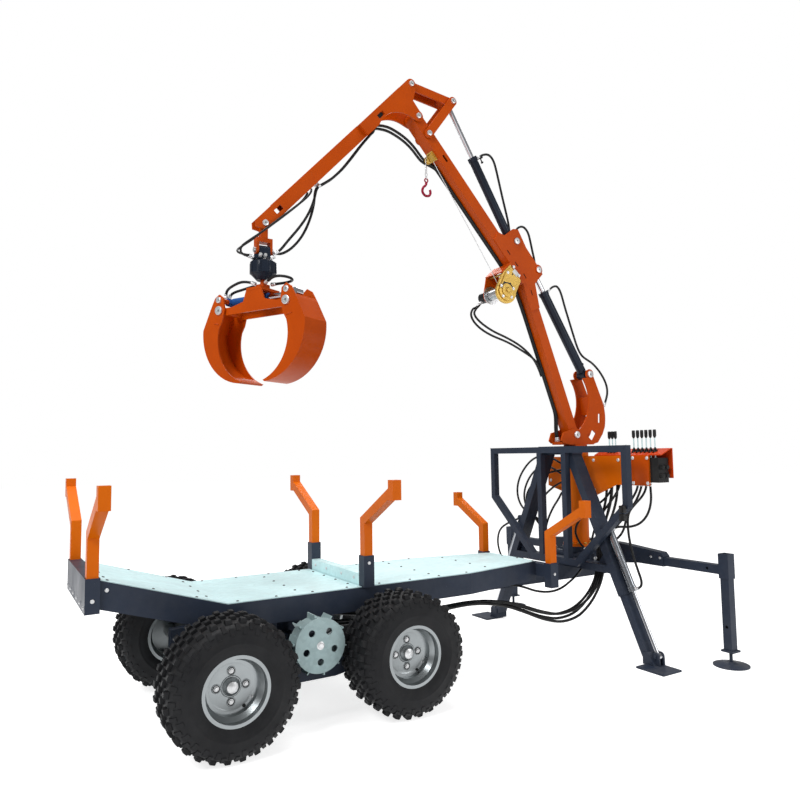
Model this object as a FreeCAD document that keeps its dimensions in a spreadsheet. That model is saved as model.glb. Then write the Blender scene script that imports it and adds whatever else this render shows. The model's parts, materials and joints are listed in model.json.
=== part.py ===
import FreeCAD, Part
# Forestry trailer with crane: a two-rail timber bed with stakes on bogie wheels, a headboard, hydraulic
# outrigger legs, front support legs and a slewing grapple crane.
# Millimetres. +X runs forward from the bed to the drawbar end, +Y to the left, +Z up.
# The origin lies on the ground, half way along the trailer's length.
import math
import os
import Sketcher
from FreeCAD import Placement, Rotation, Vector

doc = FreeCAD.newDocument("forestry_trailer")
sheet = doc.addObject("Spreadsheet::Sheet", "Sizes")

# Driving dimensions, one spreadsheet cell each.
SIZES = {
    # timber bed
    "rail_half": 320, "rail_wide": 50, "rail_tall": 108, "deck_top": 556, "sheet": 4,
    "bed_rear": -1611, "bed_bend": -1094, "bed_taper": 219, "bed_front": 775, "front_half": 212, "rear_top": 712,
    "spine_half": 50, "spine_top": 472, "spine_tall": 88, "spine_rear": -1150, "spine_front": 1667,
    # bunks and stakes
    "bunk_deep": 56, "rear_bunk_top": 720, "rear_bunk_tall": 138, "bunk_top": 703, "bunk_centre": -408,
    "stake": 45, "stake_fit": 1, "pocket_wall": 5, "pocket_deep": 120, "rear_inset": 16, "side_inset": 8,
    "stake_knee": 168, "stake_lean": 278, "stake_low": 280, "stake_high": 372, "stake_join": 310,
    # headboard
    "board_rear": 1121, "board_tube": 40, "board_half": 615, "board_top": 1227, "board_knee": 872,
    "board_foot_half": 205, "board_foot": 488, "board_post": 112,
    # bogie, wheels and drive rollers
    "bogie_centre": -736, "wheel_gap": 412, "tyre_radius": 278, "tyre_half": 128, "tyre_room": 8,
    "beam_room": 2, "beam_wide": 50, "pivot_rise": 12, "stub_radius": 15, "rim_radius": 128,
    "roller_rise": 84, "roller_radius": 118, "roller_long": 93, "roller_room": 28, "motor_radius": 40,
    # outrigger frame and legs
    "leg_tilt": 25.3, "apex_out": 121, "apex_high": 1174, "frame_rear": 1161, "sleeve_deep": 90, "sleeve_wide": 50,
    "wall": 4, "sleeve_long": 903, "slide_gap": 1, "ram_out": 53, "ram_radius": 24, "ram_rod": 12,
    "foot_pin": 1262,
    # front support arms
    "arm_station": 1554, "arm_height": 520, "arm_tube": 50, "arm_fit": 1, "arm_wall": 4.5, "arm_end": 520,
    "leg_out": 915, "foot_radius": 95,
    # crane
    "mast_x": 1349, "mast_radius": 70, "mast_top": 1212, "mast_shaft": 40,
    "pivot_x": 1304, "pivot_z": 1305, "lift_base_x": 1446, "lift_base_z": 1712, "lift_eye_x": 1018,
    "lift_eye_z": 2374, "bend_x": 921, "bend_z": 2287, "jib_base_x": 840, "jib_base_z": 2537,
    "horn_x": 58, "horn_z": 3362, "knuckle_x": 358, "knuckle_z": 3335, "elbow_x": 105, "elbow_z": 3178,
    "rocker_x": 180, "rocker_z": 3090, "tip_x": -825, "tip_z": 2383, "drum_x": 733, "drum_z": 2200,
    "boom_deep": 70, "boom_half": 42, "jib_deep": 74, "jib_half": 30, "plate": 10, "head_gap": 50,
    "pin": 16, "big_pin": 20, "running": 0.05, "hose": 8, "thin_hose": 7,
    # rotator and grapple
    "hang_z": 2245, "rotator_radius": 66, "claw_half": 224, "claw_z": 1945, "ear_rise": 55, "claw_wide": 85,
    "grapple_turn": 28, "grapple_ram": 21,
}


class Size:
    """A number that keeps the spreadsheet formula it comes from."""

    def __init__(self, value, text=None):
        self.value = float(value)
        self.text = text or "%.6f" % value

    def joined(self, sign, other, value):
        return Size(value, "(%s %s %s)" % (self.text, sign, other.text))

    def __add__(self, other):
        other = as_size(other)
        return self.joined("+", other, self.value + other.value)

    def __sub__(self, other):
        other = as_size(other)
        return self.joined("-", other, self.value - other.value)

    def __mul__(self, other):
        other = as_size(other)
        return self.joined("*", other, self.value * other.value)

    def __truediv__(self, other):
        other = as_size(other)
        return self.joined("/", other, self.value / other.value)

    def __radd__(self, other):
        return as_size(other) + self

    def __rsub__(self, other):
        return as_size(other) - self

    def __rmul__(self, other):
        return as_size(other) * self

    def __neg__(self):
        return Size(-self.value, "(0 - %s)" % self.text)


def as_size(number):
    return number if isinstance(number, Size) else Size(number)


class Dimensions:
    pass


dim = Dimensions()
for row, (alias, number) in enumerate(SIZES.items(), 1):
    sheet.set("A%d" % row, str(number))
    sheet.setAlias("A%d" % row, alias)
    setattr(dim, alias, Size(number, "Sizes." + alias))
doc.recompute()

# Sizes that follow from the driving ones.
dim.pocket_hole = dim.stake + dim.stake_fit
dim.pocket = dim.pocket_hole + 2 * dim.pocket_wall
dim.rear_stake = dim.rail_half - dim.rear_inset
dim.side_stake = dim.rail_half - dim.side_inset
dim.beam_inner = dim.rail_half + dim.beam_room
dim.beam_outer = dim.beam_inner + dim.beam_wide
dim.wheel_track = dim.beam_outer + dim.tyre_half + dim.tyre_room
dim.bogie_pivot = dim.tyre_radius + dim.pivot_rise
dim.roller_height = dim.tyre_radius + dim.roller_rise
dim.roller_inner = dim.beam_outer + dim.roller_room
dim.roller_outer = dim.roller_inner + dim.roller_long
dim.leg_deep = dim.sleeve_deep - 2 * (dim.wall + dim.slide_gap)
dim.leg_wide = dim.sleeve_wide - 2 * (dim.wall + dim.slide_gap)
dim.arm_hole = dim.arm_tube + dim.arm_fit
dim.arm_sleeve = dim.arm_hole + 2 * dim.arm_wall

NODES = {}
CUTS = []


def node(name, item):
    """Name a finished sub-part; its label is its file's name."""
    item.Label = name
    NODES[name] = item
    return item


# ---------------------------------------------------------------- sketches

class Via:
    """A point that an arc between its two neighbours passes through."""

    def __init__(self, across, up):
        self.point = (across, up)


class Ring:
    """A circle in a sketch."""

    def __init__(self, across, up, radius):
        self.centre = (across, up)
        self.radius = as_size(radius)


def flat(point):
    return Vector(as_size(point[0]).value, as_size(point[1]).value, 0)


def bind(sketch, constraint, size):
    index = sketch.addConstraint(constraint)
    name = "size%d" % index
    sketch.renameConstraint(index, name)
    if "Sizes." in size.text:
        sketch.setExpression("Constraints." + name, size.text)


def locate(sketch, geometry, end, point):
    """Tie one sketch point to its place measured from the sketch's origin."""
    for kind, axis, number in (("DistanceX", -2, point[0]), ("DistanceY", -1, point[1])):
        size = as_size(number)
        if abs(size.value) < 1e-7:
            sketch.addConstraint(Sketcher.Constraint("PointOnObject", geometry, end, axis))
        elif size.value > 0:
            bind(sketch, Sketcher.Constraint(kind, -1, 1, geometry, end, size.value), size)
        else:
            bind(sketch, Sketcher.Constraint(kind, geometry, end, -1, 1, -size.value), -size)


def hold_centre(sketch, arc, end, start, stop, centre):
    """Fix an arc between two set points by how far its centre lies from one of them."""
    level = abs(stop.x - start.x) > abs(stop.y - start.y)
    gap = centre.y - start.y if level else centre.x - start.x
    kind = "DistanceY" if level else "DistanceX"
    if abs(gap) < 1e-6:
        sketch.addConstraint(Sketcher.Constraint("Horizontal" if level else "Vertical", arc, end, arc, 3))
    elif gap > 0:
        sketch.addConstraint(Sketcher.Constraint(kind, arc, end, arc, 3, gap))
    else:
        sketch.addConstraint(Sketcher.Constraint(kind, arc, 3, arc, end, -gap))


def draw_loop(sketch, loop):
    edges = []
    corners = [item for item in loop if not isinstance(item, Via)]
    position = {id(item): index for index, item in enumerate(loop)}
    for corner, following in zip(corners, corners[1:] + corners[:1]):
        after = loop[(position[id(corner)] + 1) % len(loop)]
        start, stop = flat(corner), flat(following)
        curved = isinstance(after, Via)
        edge = Part.Arc(start, flat(after.point), stop) if curved else Part.LineSegment(start, stop)
        geometry = sketch.addGeometry(edge, False)
        forward = sketch.getPoint(geometry, 1).distanceToPoint(start) < 1e-4
        centre = edge.toShape().Curve.Center if curved else None
        edges.append((geometry, 1 if forward else 2, 2 if forward else 1, corner, (start, stop, centre)))
    for before, after in zip(edges, edges[1:] + edges[:1]):
        sketch.addConstraint(Sketcher.Constraint("Coincident", before[0], before[2], after[0], after[1]))
    for geometry, first, last, corner, (start, stop, centre) in edges:
        locate(sketch, geometry, first, corner)
        if centre:
            hold_centre(sketch, geometry, first, start, stop, centre)


def draw_ring(sketch, ring):
    circle = Part.Circle(flat(ring.centre), Vector(0, 0, 1), ring.radius.value)
    geometry = sketch.addGeometry(circle, False)
    locate(sketch, geometry, 3, ring.centre)
    bind(sketch, Sketcher.Constraint("Radius", geometry, ring.radius.value), ring.radius)


class Solid:
    """A PartDesign body built up from slabs, turned profiles and cuts."""

    PLANES = {"XY": ("XY_Plane", 1), "XZ": ("XZ_Plane", -1), "YZ": ("YZ_Plane", 1)}

    def __init__(self, name=None):
        self.body = doc.addObject("PartDesign::Body", "Body")
        if name:
            node(name, self.body)

    def sketch(self, plane, loops, offset=0):
        role, sense = self.PLANES[plane]
        sketch = self.body.newObject("Sketcher::SketchObject", "Sketch")
        support = [item for item in self.body.Origin.OriginFeatures if item.Role == role][0]
        sketch.AttachmentSupport = [(support, "")]
        sketch.MapMode = "FlatFace"
        offset = as_size(offset) * sense
        sketch.AttachmentOffset = Placement(Vector(0, 0, offset.value), Rotation())
        if "Sizes." in offset.text:
            sketch.setExpression("AttachmentOffset.Base.z", offset.text)
        for loop in loops:
            if isinstance(loop, Ring):
                draw_ring(sketch, loop)
            else:
                draw_loop(sketch, loop)
        return sketch

    def layer(self, kind, plane, loops, low, high):
        low, high = as_size(low), as_size(high)
        sketch = self.sketch(plane, loops, (low + high) * 0.5)
        feature = self.body.newObject("PartDesign::" + kind, kind)
        feature.Profile = sketch
        feature.SideType = "Symmetric"
        thickness = high - low
        feature.Length = thickness.value
        if "Sizes." in thickness.text:
            feature.setExpression("Length", thickness.text)
        return feature

    def slab(self, plane, loops, low, high):
        """Add the outline as a layer between two heights along the plane's normal."""
        self.layer("Pad", plane, loops, low, high)
        return self

    def cut(self, plane, loops, low, high):
        """Take the outline away between two heights along the plane's normal."""
        before = self.body.Tip
        CUTS.append((before, self.layer("Pocket", plane, loops, low, high)))
        return self

    def turn(self, plane, loop, axis="V_Axis", kind="Revolution"):
        """Turn a half profile about one of the sketch's own axes."""
        sketch = self.sketch(plane, [loop])
        feature = self.body.newObject("PartDesign::" + kind, kind)
        feature.Profile = sketch
        feature.ReferenceAxis = (sketch, [axis])
        feature.Angle = 360
        return self

    def repeat(self, count):
        """Repeat the last feature round the plane's normal through the solid's own origin."""
        last = self.body.Tip
        feature = self.body.newObject("PartDesign::PolarPattern", "Repeat")
        feature.Originals = [last]
        feature.Axis = (last.Profile[0], ["N_Axis"])
        feature.Angle = 360
        feature.Occurrences = count
        self.body.Tip = feature
        return self

    def place(self, placement):
        self.body.Placement = placement
        return self


# ---------------------------------------------------------------- primitives

def block(across, along, up):
    """A Part box between (low, high) limits on X, Y and Z."""
    item = doc.addObject("Part::Box", "Block")
    for size_name, axis, (low, high) in zip(("Length", "Width", "Height"), "xyz", (across, along, up)):
        low, high = as_size(low), as_size(high)
        item.setExpression(size_name, (high - low).text)
        item.setExpression("Placement.Base." + axis, low.text)
    return item


def rod(axis, centre, radius, low, high):
    """A Part cylinder along one axis between two limits; centre names the other two coordinates."""
    item = doc.addObject("Part::Cylinder", "Rod")
    low, high = as_size(low), as_size(high)
    item.setExpression("Radius", as_size(radius).text)
    item.setExpression("Height", (high - low).text)
    turns = {"x": Rotation(Vector(0, 1, 0), 90), "y": Rotation(Vector(1, 0, 0), -90), "z": Rotation()}
    item.Placement = Placement(Vector(), turns[axis])
    others = [letter for letter in "xyz" if letter != axis]
    for letter, number in [(axis, low)] + list(zip(others, centre)):
        item.setExpression("Placement.Base." + letter, as_size(number).text)
    return item


def joined(*parts):
    item = doc.addObject("Part::MultiFuse", "Joined")
    item.Shapes = list(parts)
    return item


def without(base, *tools):
    tool = tools[0] if len(tools) == 1 else joined(*tools)
    item = doc.addObject("Part::Cut", "Without")
    item.Base = base
    item.Tool = tool
    return item


def mirrored(item):
    """The same piece on the trailer's other side."""
    copy = doc.addObject("Part::Mirroring", "Mirrored")
    copy.Source = item
    copy.Normal = (0, 1, 0)
    return copy


def group(*parts):
    """Like pieces on one body, kept as separate solids of one sub-part."""
    item = doc.addObject("Part::Compound", "Group")
    item.Links = list(parts)
    return item


def body_of(piece):
    return piece.body if isinstance(piece, Solid) else piece


def both_sides(name, piece):
    piece = body_of(piece)
    return node(name, group(piece, mirrored(piece)))


def left_and_right(name, piece):
    piece = body_of(piece)
    node("right_" + name, piece)
    node("left_" + name, mirrored(piece))


def hose(points, radius):
    """A round hose of straight runs joined by tangent arcs, each as large as its two runs allow."""
    corners = [Vector(*[as_size(number).value for number in point]) for point in points]
    edges, bends = [], []
    start = corners[0]
    for before, corner, after in zip(corners, corners[1:], corners[2:]):
        back, ahead = before - corner, after - corner
        room = 0.45 * min(back.Length, ahead.Length)
        half_turn = (math.pi - back.getAngle(ahead)) / 2
        bend = room / math.tan(half_turn)
        back, ahead = back.normalize(), ahead.normalize()
        inward = (back + ahead).normalize()
        enter, leave = corner + back * room, corner + ahead * room
        middle = corner + inward * (bend / math.cos(half_turn) - bend)
        edges += [Part.LineSegment(start, enter).toShape(), Part.Arc(enter, middle, leave).toShape()]
        bends.append(bend)
        start = leave
    edges.append(Part.LineSegment(start, corners[-1]).toShape())
    path = Part.Wire(edges)
    ring = Part.Wire(Part.makeCircle(radius.value, corners[0], corners[1] - corners[0]))
    item = doc.addObject("Part::Feature", "Hose")
    item.Shape = path.makePipeShell([ring], True, True)
    section = math.pi * radius.value ** 2
    print("hose %.0f long, tightest bend %.0f, volume over section by length %.4f"
          % (path.Length, min(bends), item.Shape.Volume / (section * path.Length)))
    return item


# ---------------------------------------------------------------- outlines

def bar(points, width):
    """Outline of a bar with mitred bends along a centre line, as plain numbers."""
    line = [flat(point) for point in points]
    half = as_size(width).value / 2
    normals = []
    for start, stop in zip(line, line[1:]):
        run = (stop - start).normalize()
        normals.append(Vector(-run.y, run.x, 0))
    sides = []
    for index, corner in enumerate(line):
        first = normals[max(index - 1, 0)]
        second = normals[min(index, len(normals) - 1)]
        bisector = (first + second).normalize()
        sides.append((corner, bisector * (half / bisector.dot(second))))
    near = [(corner.x + shift.x, corner.y + shift.y) for corner, shift in sides]
    far = [(corner.x - shift.x, corner.y - shift.y) for corner, shift in reversed(sides)]
    return near + far


def inset(points, distance):
    """A closed outline moved inwards by one distance, as plain numbers; points run anticlockwise."""
    line = [flat(point) for point in points]
    moved = []
    for before, corner, after in zip(line[-1:] + line[:-1], line, line[1:] + line[:1]):
        first = (corner - before).normalize()
        second = (after - corner).normalize()
        first, second = Vector(-first.y, first.x, 0), Vector(-second.y, second.x, 0)
        bisector = (first + second).normalize()
        moved.append(corner + bisector * (distance / bisector.dot(second)))
    return [(corner.x, corner.y) for corner in moved]


def rectangle(low_across, high_across, low_up, high_up):
    return [(low_across, low_up), (high_across, low_up), (high_across, high_up), (low_across, high_up)]


def along(start, stop, distance, aside=0):
    """A point at a distance from start towards stop, moved aside to the left of that direction."""
    start, stop = flat(start), flat(stop)
    run = (stop - start).normalize()
    place = start + run * distance + Vector(-run.y, run.x, 0) * aside
    return (place.x, place.y)


def toward(start, stop):
    """Placement of a ram modelled up +Z from its base pin, turned in the X-Z plane towards another pin."""
    start, stop = flat(start), flat(stop)
    angle = math.degrees(math.atan2(stop.x - start.x, stop.y - start.y))
    return Placement(Vector(start.x, 0, start.y), Rotation(Vector(0, 1, 0), angle))


def distance(start, stop):
    return flat(start).distanceToPoint(flat(stop))


def shifted(loop, across):
    """The same outline moved across."""
    return [Via(item.point[0] + across, item.point[1]) if isinstance(item, Via)
            else (item[0] + across, item[1]) for item in loop]


def flipped(loop):
    """The same outline on the other side of the upright axis."""
    return [Via(-item.point[0], item.point[1]) if isinstance(item, Via) else (-item[0], item[1])
            for item in loop]


def slot(centre, direction, length, width):
    """A long hole with straight ends, centred on a point and running along a direction in degrees."""
    heading = Vector(math.cos(math.radians(direction)), math.sin(math.radians(direction)), 0)
    aside = Vector(-heading.y, heading.x, 0) * (width / 2)
    centre, half = flat(centre), heading * (length / 2)
    corners = (centre - half - aside, centre + half - aside, centre + half + aside, centre - half + aside)
    return [(corner.x, corner.y) for corner in corners]


PIVOT = (dim.pivot_x, dim.pivot_z)
LIFT_BASE = (dim.lift_base_x, dim.lift_base_z)
LIFT_EYE = (dim.lift_eye_x, dim.lift_eye_z)
BEND = (dim.bend_x, dim.bend_z)
JIB_BASE = (dim.jib_base_x, dim.jib_base_z)
HORN = (dim.horn_x, dim.horn_z)
KNUCKLE = (dim.knuckle_x, dim.knuckle_z)
ELBOW = (dim.elbow_x, dim.elbow_z)
ROCKER = (dim.rocker_x, dim.rocker_z)
TIP = (dim.tip_x, dim.tip_z)


# ---------------------------------------------------------------- timber bed

def make_bed():
    rail_top = dim.deck_top - dim.sheet
    rail_foot = rail_top - dim.rail_tall
    rear_top = dim.rear_top - dim.sheet
    side = [(dim.bed_rear, rear_top - 113), (dim.bed_bend - 16, rail_foot), (dim.bed_taper, rail_foot),
            (dim.bed_taper, rail_top), (dim.bed_bend, rail_top), (dim.bed_rear, rear_top)]
    taper = [(dim.bed_taper, -dim.rail_half), (dim.bed_front, -dim.front_half),
             (dim.bed_front, dim.rail_wide - dim.front_half), (dim.bed_taper, dim.rail_wide - dim.rail_half)]
    rail = Solid().slab("XZ", [side], -dim.rail_half, dim.rail_wide - dim.rail_half)
    rail.slab("XY", [taper], rail_foot, rail_top)
    both_sides("side_rails", rail)

    edge = dim.rail_half - 4
    rear_stop = dim.bunk_centre - dim.pocket / 2 - 1
    rear_sheet = [(dim.bed_rear, rear_top), (dim.bed_bend, rail_top), (rear_stop, rail_top),
                  (rear_stop, dim.deck_top), (dim.bed_bend, dim.deck_top), (dim.bed_rear, dim.rear_top)]
    rear_deck = Solid().slab("XZ", [rear_sheet], -edge, edge)
    front_start = dim.bunk_centre + dim.pocket / 2 + 1
    end = dim.front_half - 2
    front_sheet = [(front_start, -edge), (dim.bed_taper, -edge), (dim.bed_front, -end),
                   (dim.bed_front, end), (dim.bed_taper, edge), (front_start, edge)]
    front_deck = Solid().slab("XY", [front_sheet], rail_top, dim.deck_top)
    node("deck_sheets", group(body_of(rear_deck), body_of(front_deck)))

    spine = block((dim.spine_rear, dim.spine_front), (-dim.spine_half, dim.spine_half),
                  (dim.spine_top - dim.spine_tall, dim.spine_top))
    socket = block((dim.spine_front - 220, dim.spine_front + 1), (6 - dim.spine_half, dim.spine_half - 6),
                   (dim.spine_top - dim.spine_tall + 6, dim.spine_top - 6))
    hitch = rod("z", (dim.spine_front - 50, 0), 13, dim.spine_top - dim.spine_tall - 1, dim.spine_top + 1)
    inner = dim.rail_half - dim.rail_wide
    ribs = [block((station - 25, station + 25), (-inner, inner), (dim.spine_top, dim.spine_top + 50))
            for station in (dim.bed_bend, dim.bogie_centre + 60, dim.bunk_centre + 300, dim.bed_taper - 40)]
    node("main_spine", joined(without(spine, socket, hitch), *ribs))


def make_bunks():
    half_hole = dim.pocket_hole / 2
    half_pocket = dim.pocket / 2

    def pocket_hole(station, aside, top):
        return block((station - half_hole, station + half_hole), (aside - half_hole, aside + half_hole),
                     (top - dim.pocket_deep, top + 1))

    rear_station = dim.bed_rear - half_pocket
    end = dim.rear_stake + half_pocket
    rear = block((dim.bed_rear - dim.pocket, dim.bed_rear), (-end, end),
                 (dim.rear_bunk_top - dim.rear_bunk_tall, dim.rear_bunk_top))
    node("rear_bunk", without(rear, pocket_hole(rear_station, -dim.rear_stake, dim.rear_bunk_top),
                              pocket_hole(rear_station, dim.rear_stake, dim.rear_bunk_top)))

    inner = dim.side_stake - half_pocket
    outer = dim.side_stake + half_pocket
    rail_top = dim.deck_top - dim.sheet
    beam = block((dim.bunk_centre - 23, dim.bunk_centre + 23), (-inner, inner), (rail_top, rail_top + 58))
    posts = [block((dim.bunk_centre - half_pocket, dim.bunk_centre + half_pocket), limits,
                   (rail_top, dim.bunk_top)) for limits in ((-outer, -inner), (inner, outer))]
    holes = [pocket_hole(dim.bunk_centre, aside, dim.bunk_top) for aside in (-dim.side_stake, dim.side_stake)]
    node("middle_bunk", without(joined(beam, *posts), *holes))

    front_station = dim.bed_front + half_pocket
    front_top = rail_top
    beam = block((dim.bed_front, dim.bed_front + dim.pocket), (-inner, inner), (dim.spine_top, front_top - 9))
    posts = [block((dim.bed_front, dim.bed_front + dim.pocket), limits, (front_top - 137, front_top))
             for limits in ((-outer, -inner), (inner, outer))]
    holes = [pocket_hole(front_station, aside, front_top) for aside in (-dim.side_stake, dim.side_stake)]
    node("front_bunk", without(joined(beam, *posts), *holes))

    def stake(station, aside, top):
        foot = top - dim.pocket_deep
        bend = top + dim.stake_knee
        out = -aside - dim.stake_lean
        outline = bar([(-aside, foot), (-aside, bend), (out + 10, top + dim.stake_join + 5)], dim.stake)
        piece = Solid().slab("YZ", [outline], station - dim.stake / 2, station + dim.stake / 2)
        upright = rectangle(out - dim.stake / 2, out + dim.stake / 2, top + dim.stake_low, top + dim.stake_high)
        return body_of(piece.slab("YZ", [upright], station - dim.stake / 2, station + dim.stake / 2))

    right_stakes = [stake(rear_station, dim.rear_stake, dim.rear_bunk_top),
                    stake(dim.bunk_centre, dim.side_stake, dim.bunk_top),
                    stake(front_station, dim.side_stake, front_top)]
    node("stakes", group(*right_stakes, *[mirrored(piece) for piece in right_stakes]))


def make_headboard():
    outline = [(-dim.board_foot_half, dim.board_foot), (dim.board_foot_half, dim.board_foot),
               (dim.board_half, dim.board_knee), (dim.board_half, dim.board_top),
               (-dim.board_half, dim.board_top), (-dim.board_half, dim.board_knee)]
    front = dim.board_rear + dim.board_tube
    board = Solid("headboard").slab("YZ", [outline, inset(outline, dim.board_tube.value)], dim.board_rear, front)
    half = dim.board_tube / 2
    for centre in (-dim.board_post, dim.board_post):
        post = rectangle(centre - half, centre + half, dim.board_foot + 10, dim.board_top - 10)
        board.slab("YZ", [post], dim.board_rear, front)
    board.slab("YZ", [rectangle(-dim.spine_half, dim.spine_half, dim.spine_top, dim.board_foot + 5)],
               dim.board_rear, front)


# ---------------------------------------------------------------- bogie and wheels

def make_bogie():
    centre = dim.bogie_centre
    end = dim.beam_inner - 12
    tube = block((centre - 40, centre + 40), (-end, end), (dim.bogie_pivot - 40, dim.bogie_pivot + 40))
    hanger = block((centre - 30, centre + 30), (-44, 44), (dim.bogie_pivot + 39, dim.spine_top - dim.spine_tall))
    pins = rod("y", (centre, dim.bogie_pivot), 24.95, -dim.beam_outer - 6, dim.beam_outer + 6)
    collar = rod("y", (centre, dim.bogie_pivot), 42, -dim.beam_inner, dim.beam_inner)
    node("bogie_axle", joined(tube, hanger, pins, collar))

    reach = dim.wheel_gap + 43
    level = dim.tyre_radius
    outline = [(centre - reach, level - 45), (centre - 130, level - 97), (centre + 130, level - 97),
               (centre + reach, level - 45), (centre + reach, level + 45), (centre + 130, level + 67),
               (centre - 130, level + 67), (centre - reach, level + 45)]
    beam = Solid().slab("XZ", [outline], -dim.beam_outer, -dim.beam_inner)
    for station in (centre - dim.wheel_gap, centre + dim.wheel_gap):
        stub = Ring(station, dim.tyre_radius, dim.stub_radius)
        beam.slab("XZ", [stub], -dim.wheel_track - 26, -dim.beam_outer + 5)
        beam.slab("XZ", [Ring(station, dim.tyre_radius, 30)], -dim.beam_outer - 8, -dim.beam_outer + 5)
    ear = [(centre - 62, level - 38), (centre + 62, level - 38), (centre + 52, dim.roller_height),
           Via(centre, dim.roller_height + 52), (centre - 52, dim.roller_height)]
    beam.slab("XZ", [ear], -dim.beam_outer - 8, -dim.beam_outer + 1)
    beam.cut("XZ", [Ring(centre, dim.bogie_pivot, 25)], -dim.beam_outer - 9, -dim.beam_inner + 1)
    # the roller's motor and its two ports, carried by the ear
    beam.slab("XZ", [Ring(centre, dim.roller_height, dim.motor_radius)], -dim.beam_outer - 70, -dim.beam_outer - 7)
    beam.slab("XZ", [Ring(centre, dim.roller_height, 12)], 4 - dim.roller_outer, -dim.beam_outer - 65)
    for port in (centre - 31, centre + 31):
        beam.slab("XZ", [Ring(port, dim.roller_height + 26, 12)], -dim.beam_outer - 1, -dim.beam_outer + 32)
    both_sides("bogie_beams", beam)


def make_wheels():
    """Tyres, rims and the drive rollers between them; all turn about axles along Y."""
    half = dim.tyre_half
    top = dim.tyre_radius
    bead = dim.rim_radius
    flank = (bead + top) / 2 - 15
    section = [(bead, -half + 23), (bead + 13, -half + 23), Via(flank, -half), (top - 33, -half + 10),
               (top - 8, -half + 28), Via(top, 0), (top - 8, half - 28), (top - 33, half - 10),
               Via(flank, half), (bead + 13, half - 23), (bead, half - 23), (bead, half - 35),
               Via(flank - 3, half - 14), (top - 38, half - 22), (top - 20, half - 38), Via(top - 13, 0),
               (top - 20, -half + 38), (top - 38, -half + 22), Via(flank - 3, -half + 14), (bead, -half + 35)]
    well = bead - 16
    edge = half - 18
    rim_line = [(bead + 12, -edge), (bead + 12, 5 - edge), (bead, 5 - edge), (bead, -80), (well, -60),
                (well, 60), (bead, 80), (bead, edge - 5), (bead + 12, edge - 5), (bead + 12, edge),
                (bead - 4, edge), (bead - 4, 78), (well - 4, 58), (well - 4, -58), (bead - 4, -78), (bead - 4, -edge)]
    disc = rectangle(30, well - 2, 24, 30)
    bore = dim.stub_radius + dim.running
    hub = [(bore, -60), (34, -60), (34, 34), (24, 42), (0, 42), (0, 34), (bore, 34)]
    for end, station in (("rear", dim.bogie_centre - dim.wheel_gap), ("front", dim.bogie_centre + dim.wheel_gap)):
        for side, sense in (("right", -1), ("left", 1)):
            turn = Rotation(Vector(0, 0, 1), 180 if sense < 0 else 0)
            place = Placement(Vector(station.value, sense * dim.wheel_track.value, top.value), turn)
            name = "%s_%s" % (end, side)
            Solid(name + "_tyre").turn("XY", section).place(place)
            Solid(name + "_rim").turn("XY", rim_line).turn("XY", disc).turn("XY", hub).place(place)

    outer = dim.roller_outer
    drum = dim.roller_radius - 10
    roller = Solid().slab("XZ", [Ring(0, 0, dim.roller_radius)], -outer, 8 - outer)
    roller.slab("XZ", [Ring(0, 0, drum), Ring(0, 0, drum - 6)], 4 - outer, -dim.roller_inner)
    roller.slab("XZ", [Ring(0, 0, 24)], -outer, 28 - outer)
    roller.cut("XZ", [Ring(0, 0, 12 + dim.running)], 3 - outer, 40 - outer)
    # angle cleats that bite into the tyres
    cleat = [(-24, drum - 4), (12, drum - 4), (12, drum + 5), (-18, drum + 5), (-18, drum + 22), (-24, drum + 22)]
    roller.slab("XZ", [cleat], 10 - outer, -dim.roller_inner).repeat(10)
    roller.cut("XZ", [Ring(0, -70, 15)], -outer - 1, 10 - outer).repeat(5)
    roller.place(Placement(Vector(dim.bogie_centre.value, 0, dim.roller_height.value), Rotation()))
    left_and_right("drive_roller", roller)


# ---------------------------------------------------------------- outriggers

def leg_placement():
    """The right outrigger leg's own frame: origin at the apex, -Z down the leg, -Y outwards."""
    centre = dim.frame_rear + dim.sleeve_deep / 2
    return Placement(Vector(centre.value, -dim.apex_out.value, dim.apex_high.value),
                     Rotation(Vector(1, 0, 0), -dim.leg_tilt.value))


def leg_point(out, down):
    """Y and Z of a point in the leg's own frame, seen on the trailer."""
    place = leg_placement().multVec(Vector(0, -as_size(out).value, -as_size(down).value))
    return (place.y, place.z)


def leg_reach(out, height):
    """How far from the centre line the leg's line at one offset is at one height."""
    tilt = math.radians(dim.leg_tilt.value)
    down = (dim.apex_high + out * math.sin(tilt) - height) / math.cos(tilt)
    return -leg_point(out, down)[0]


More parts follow.
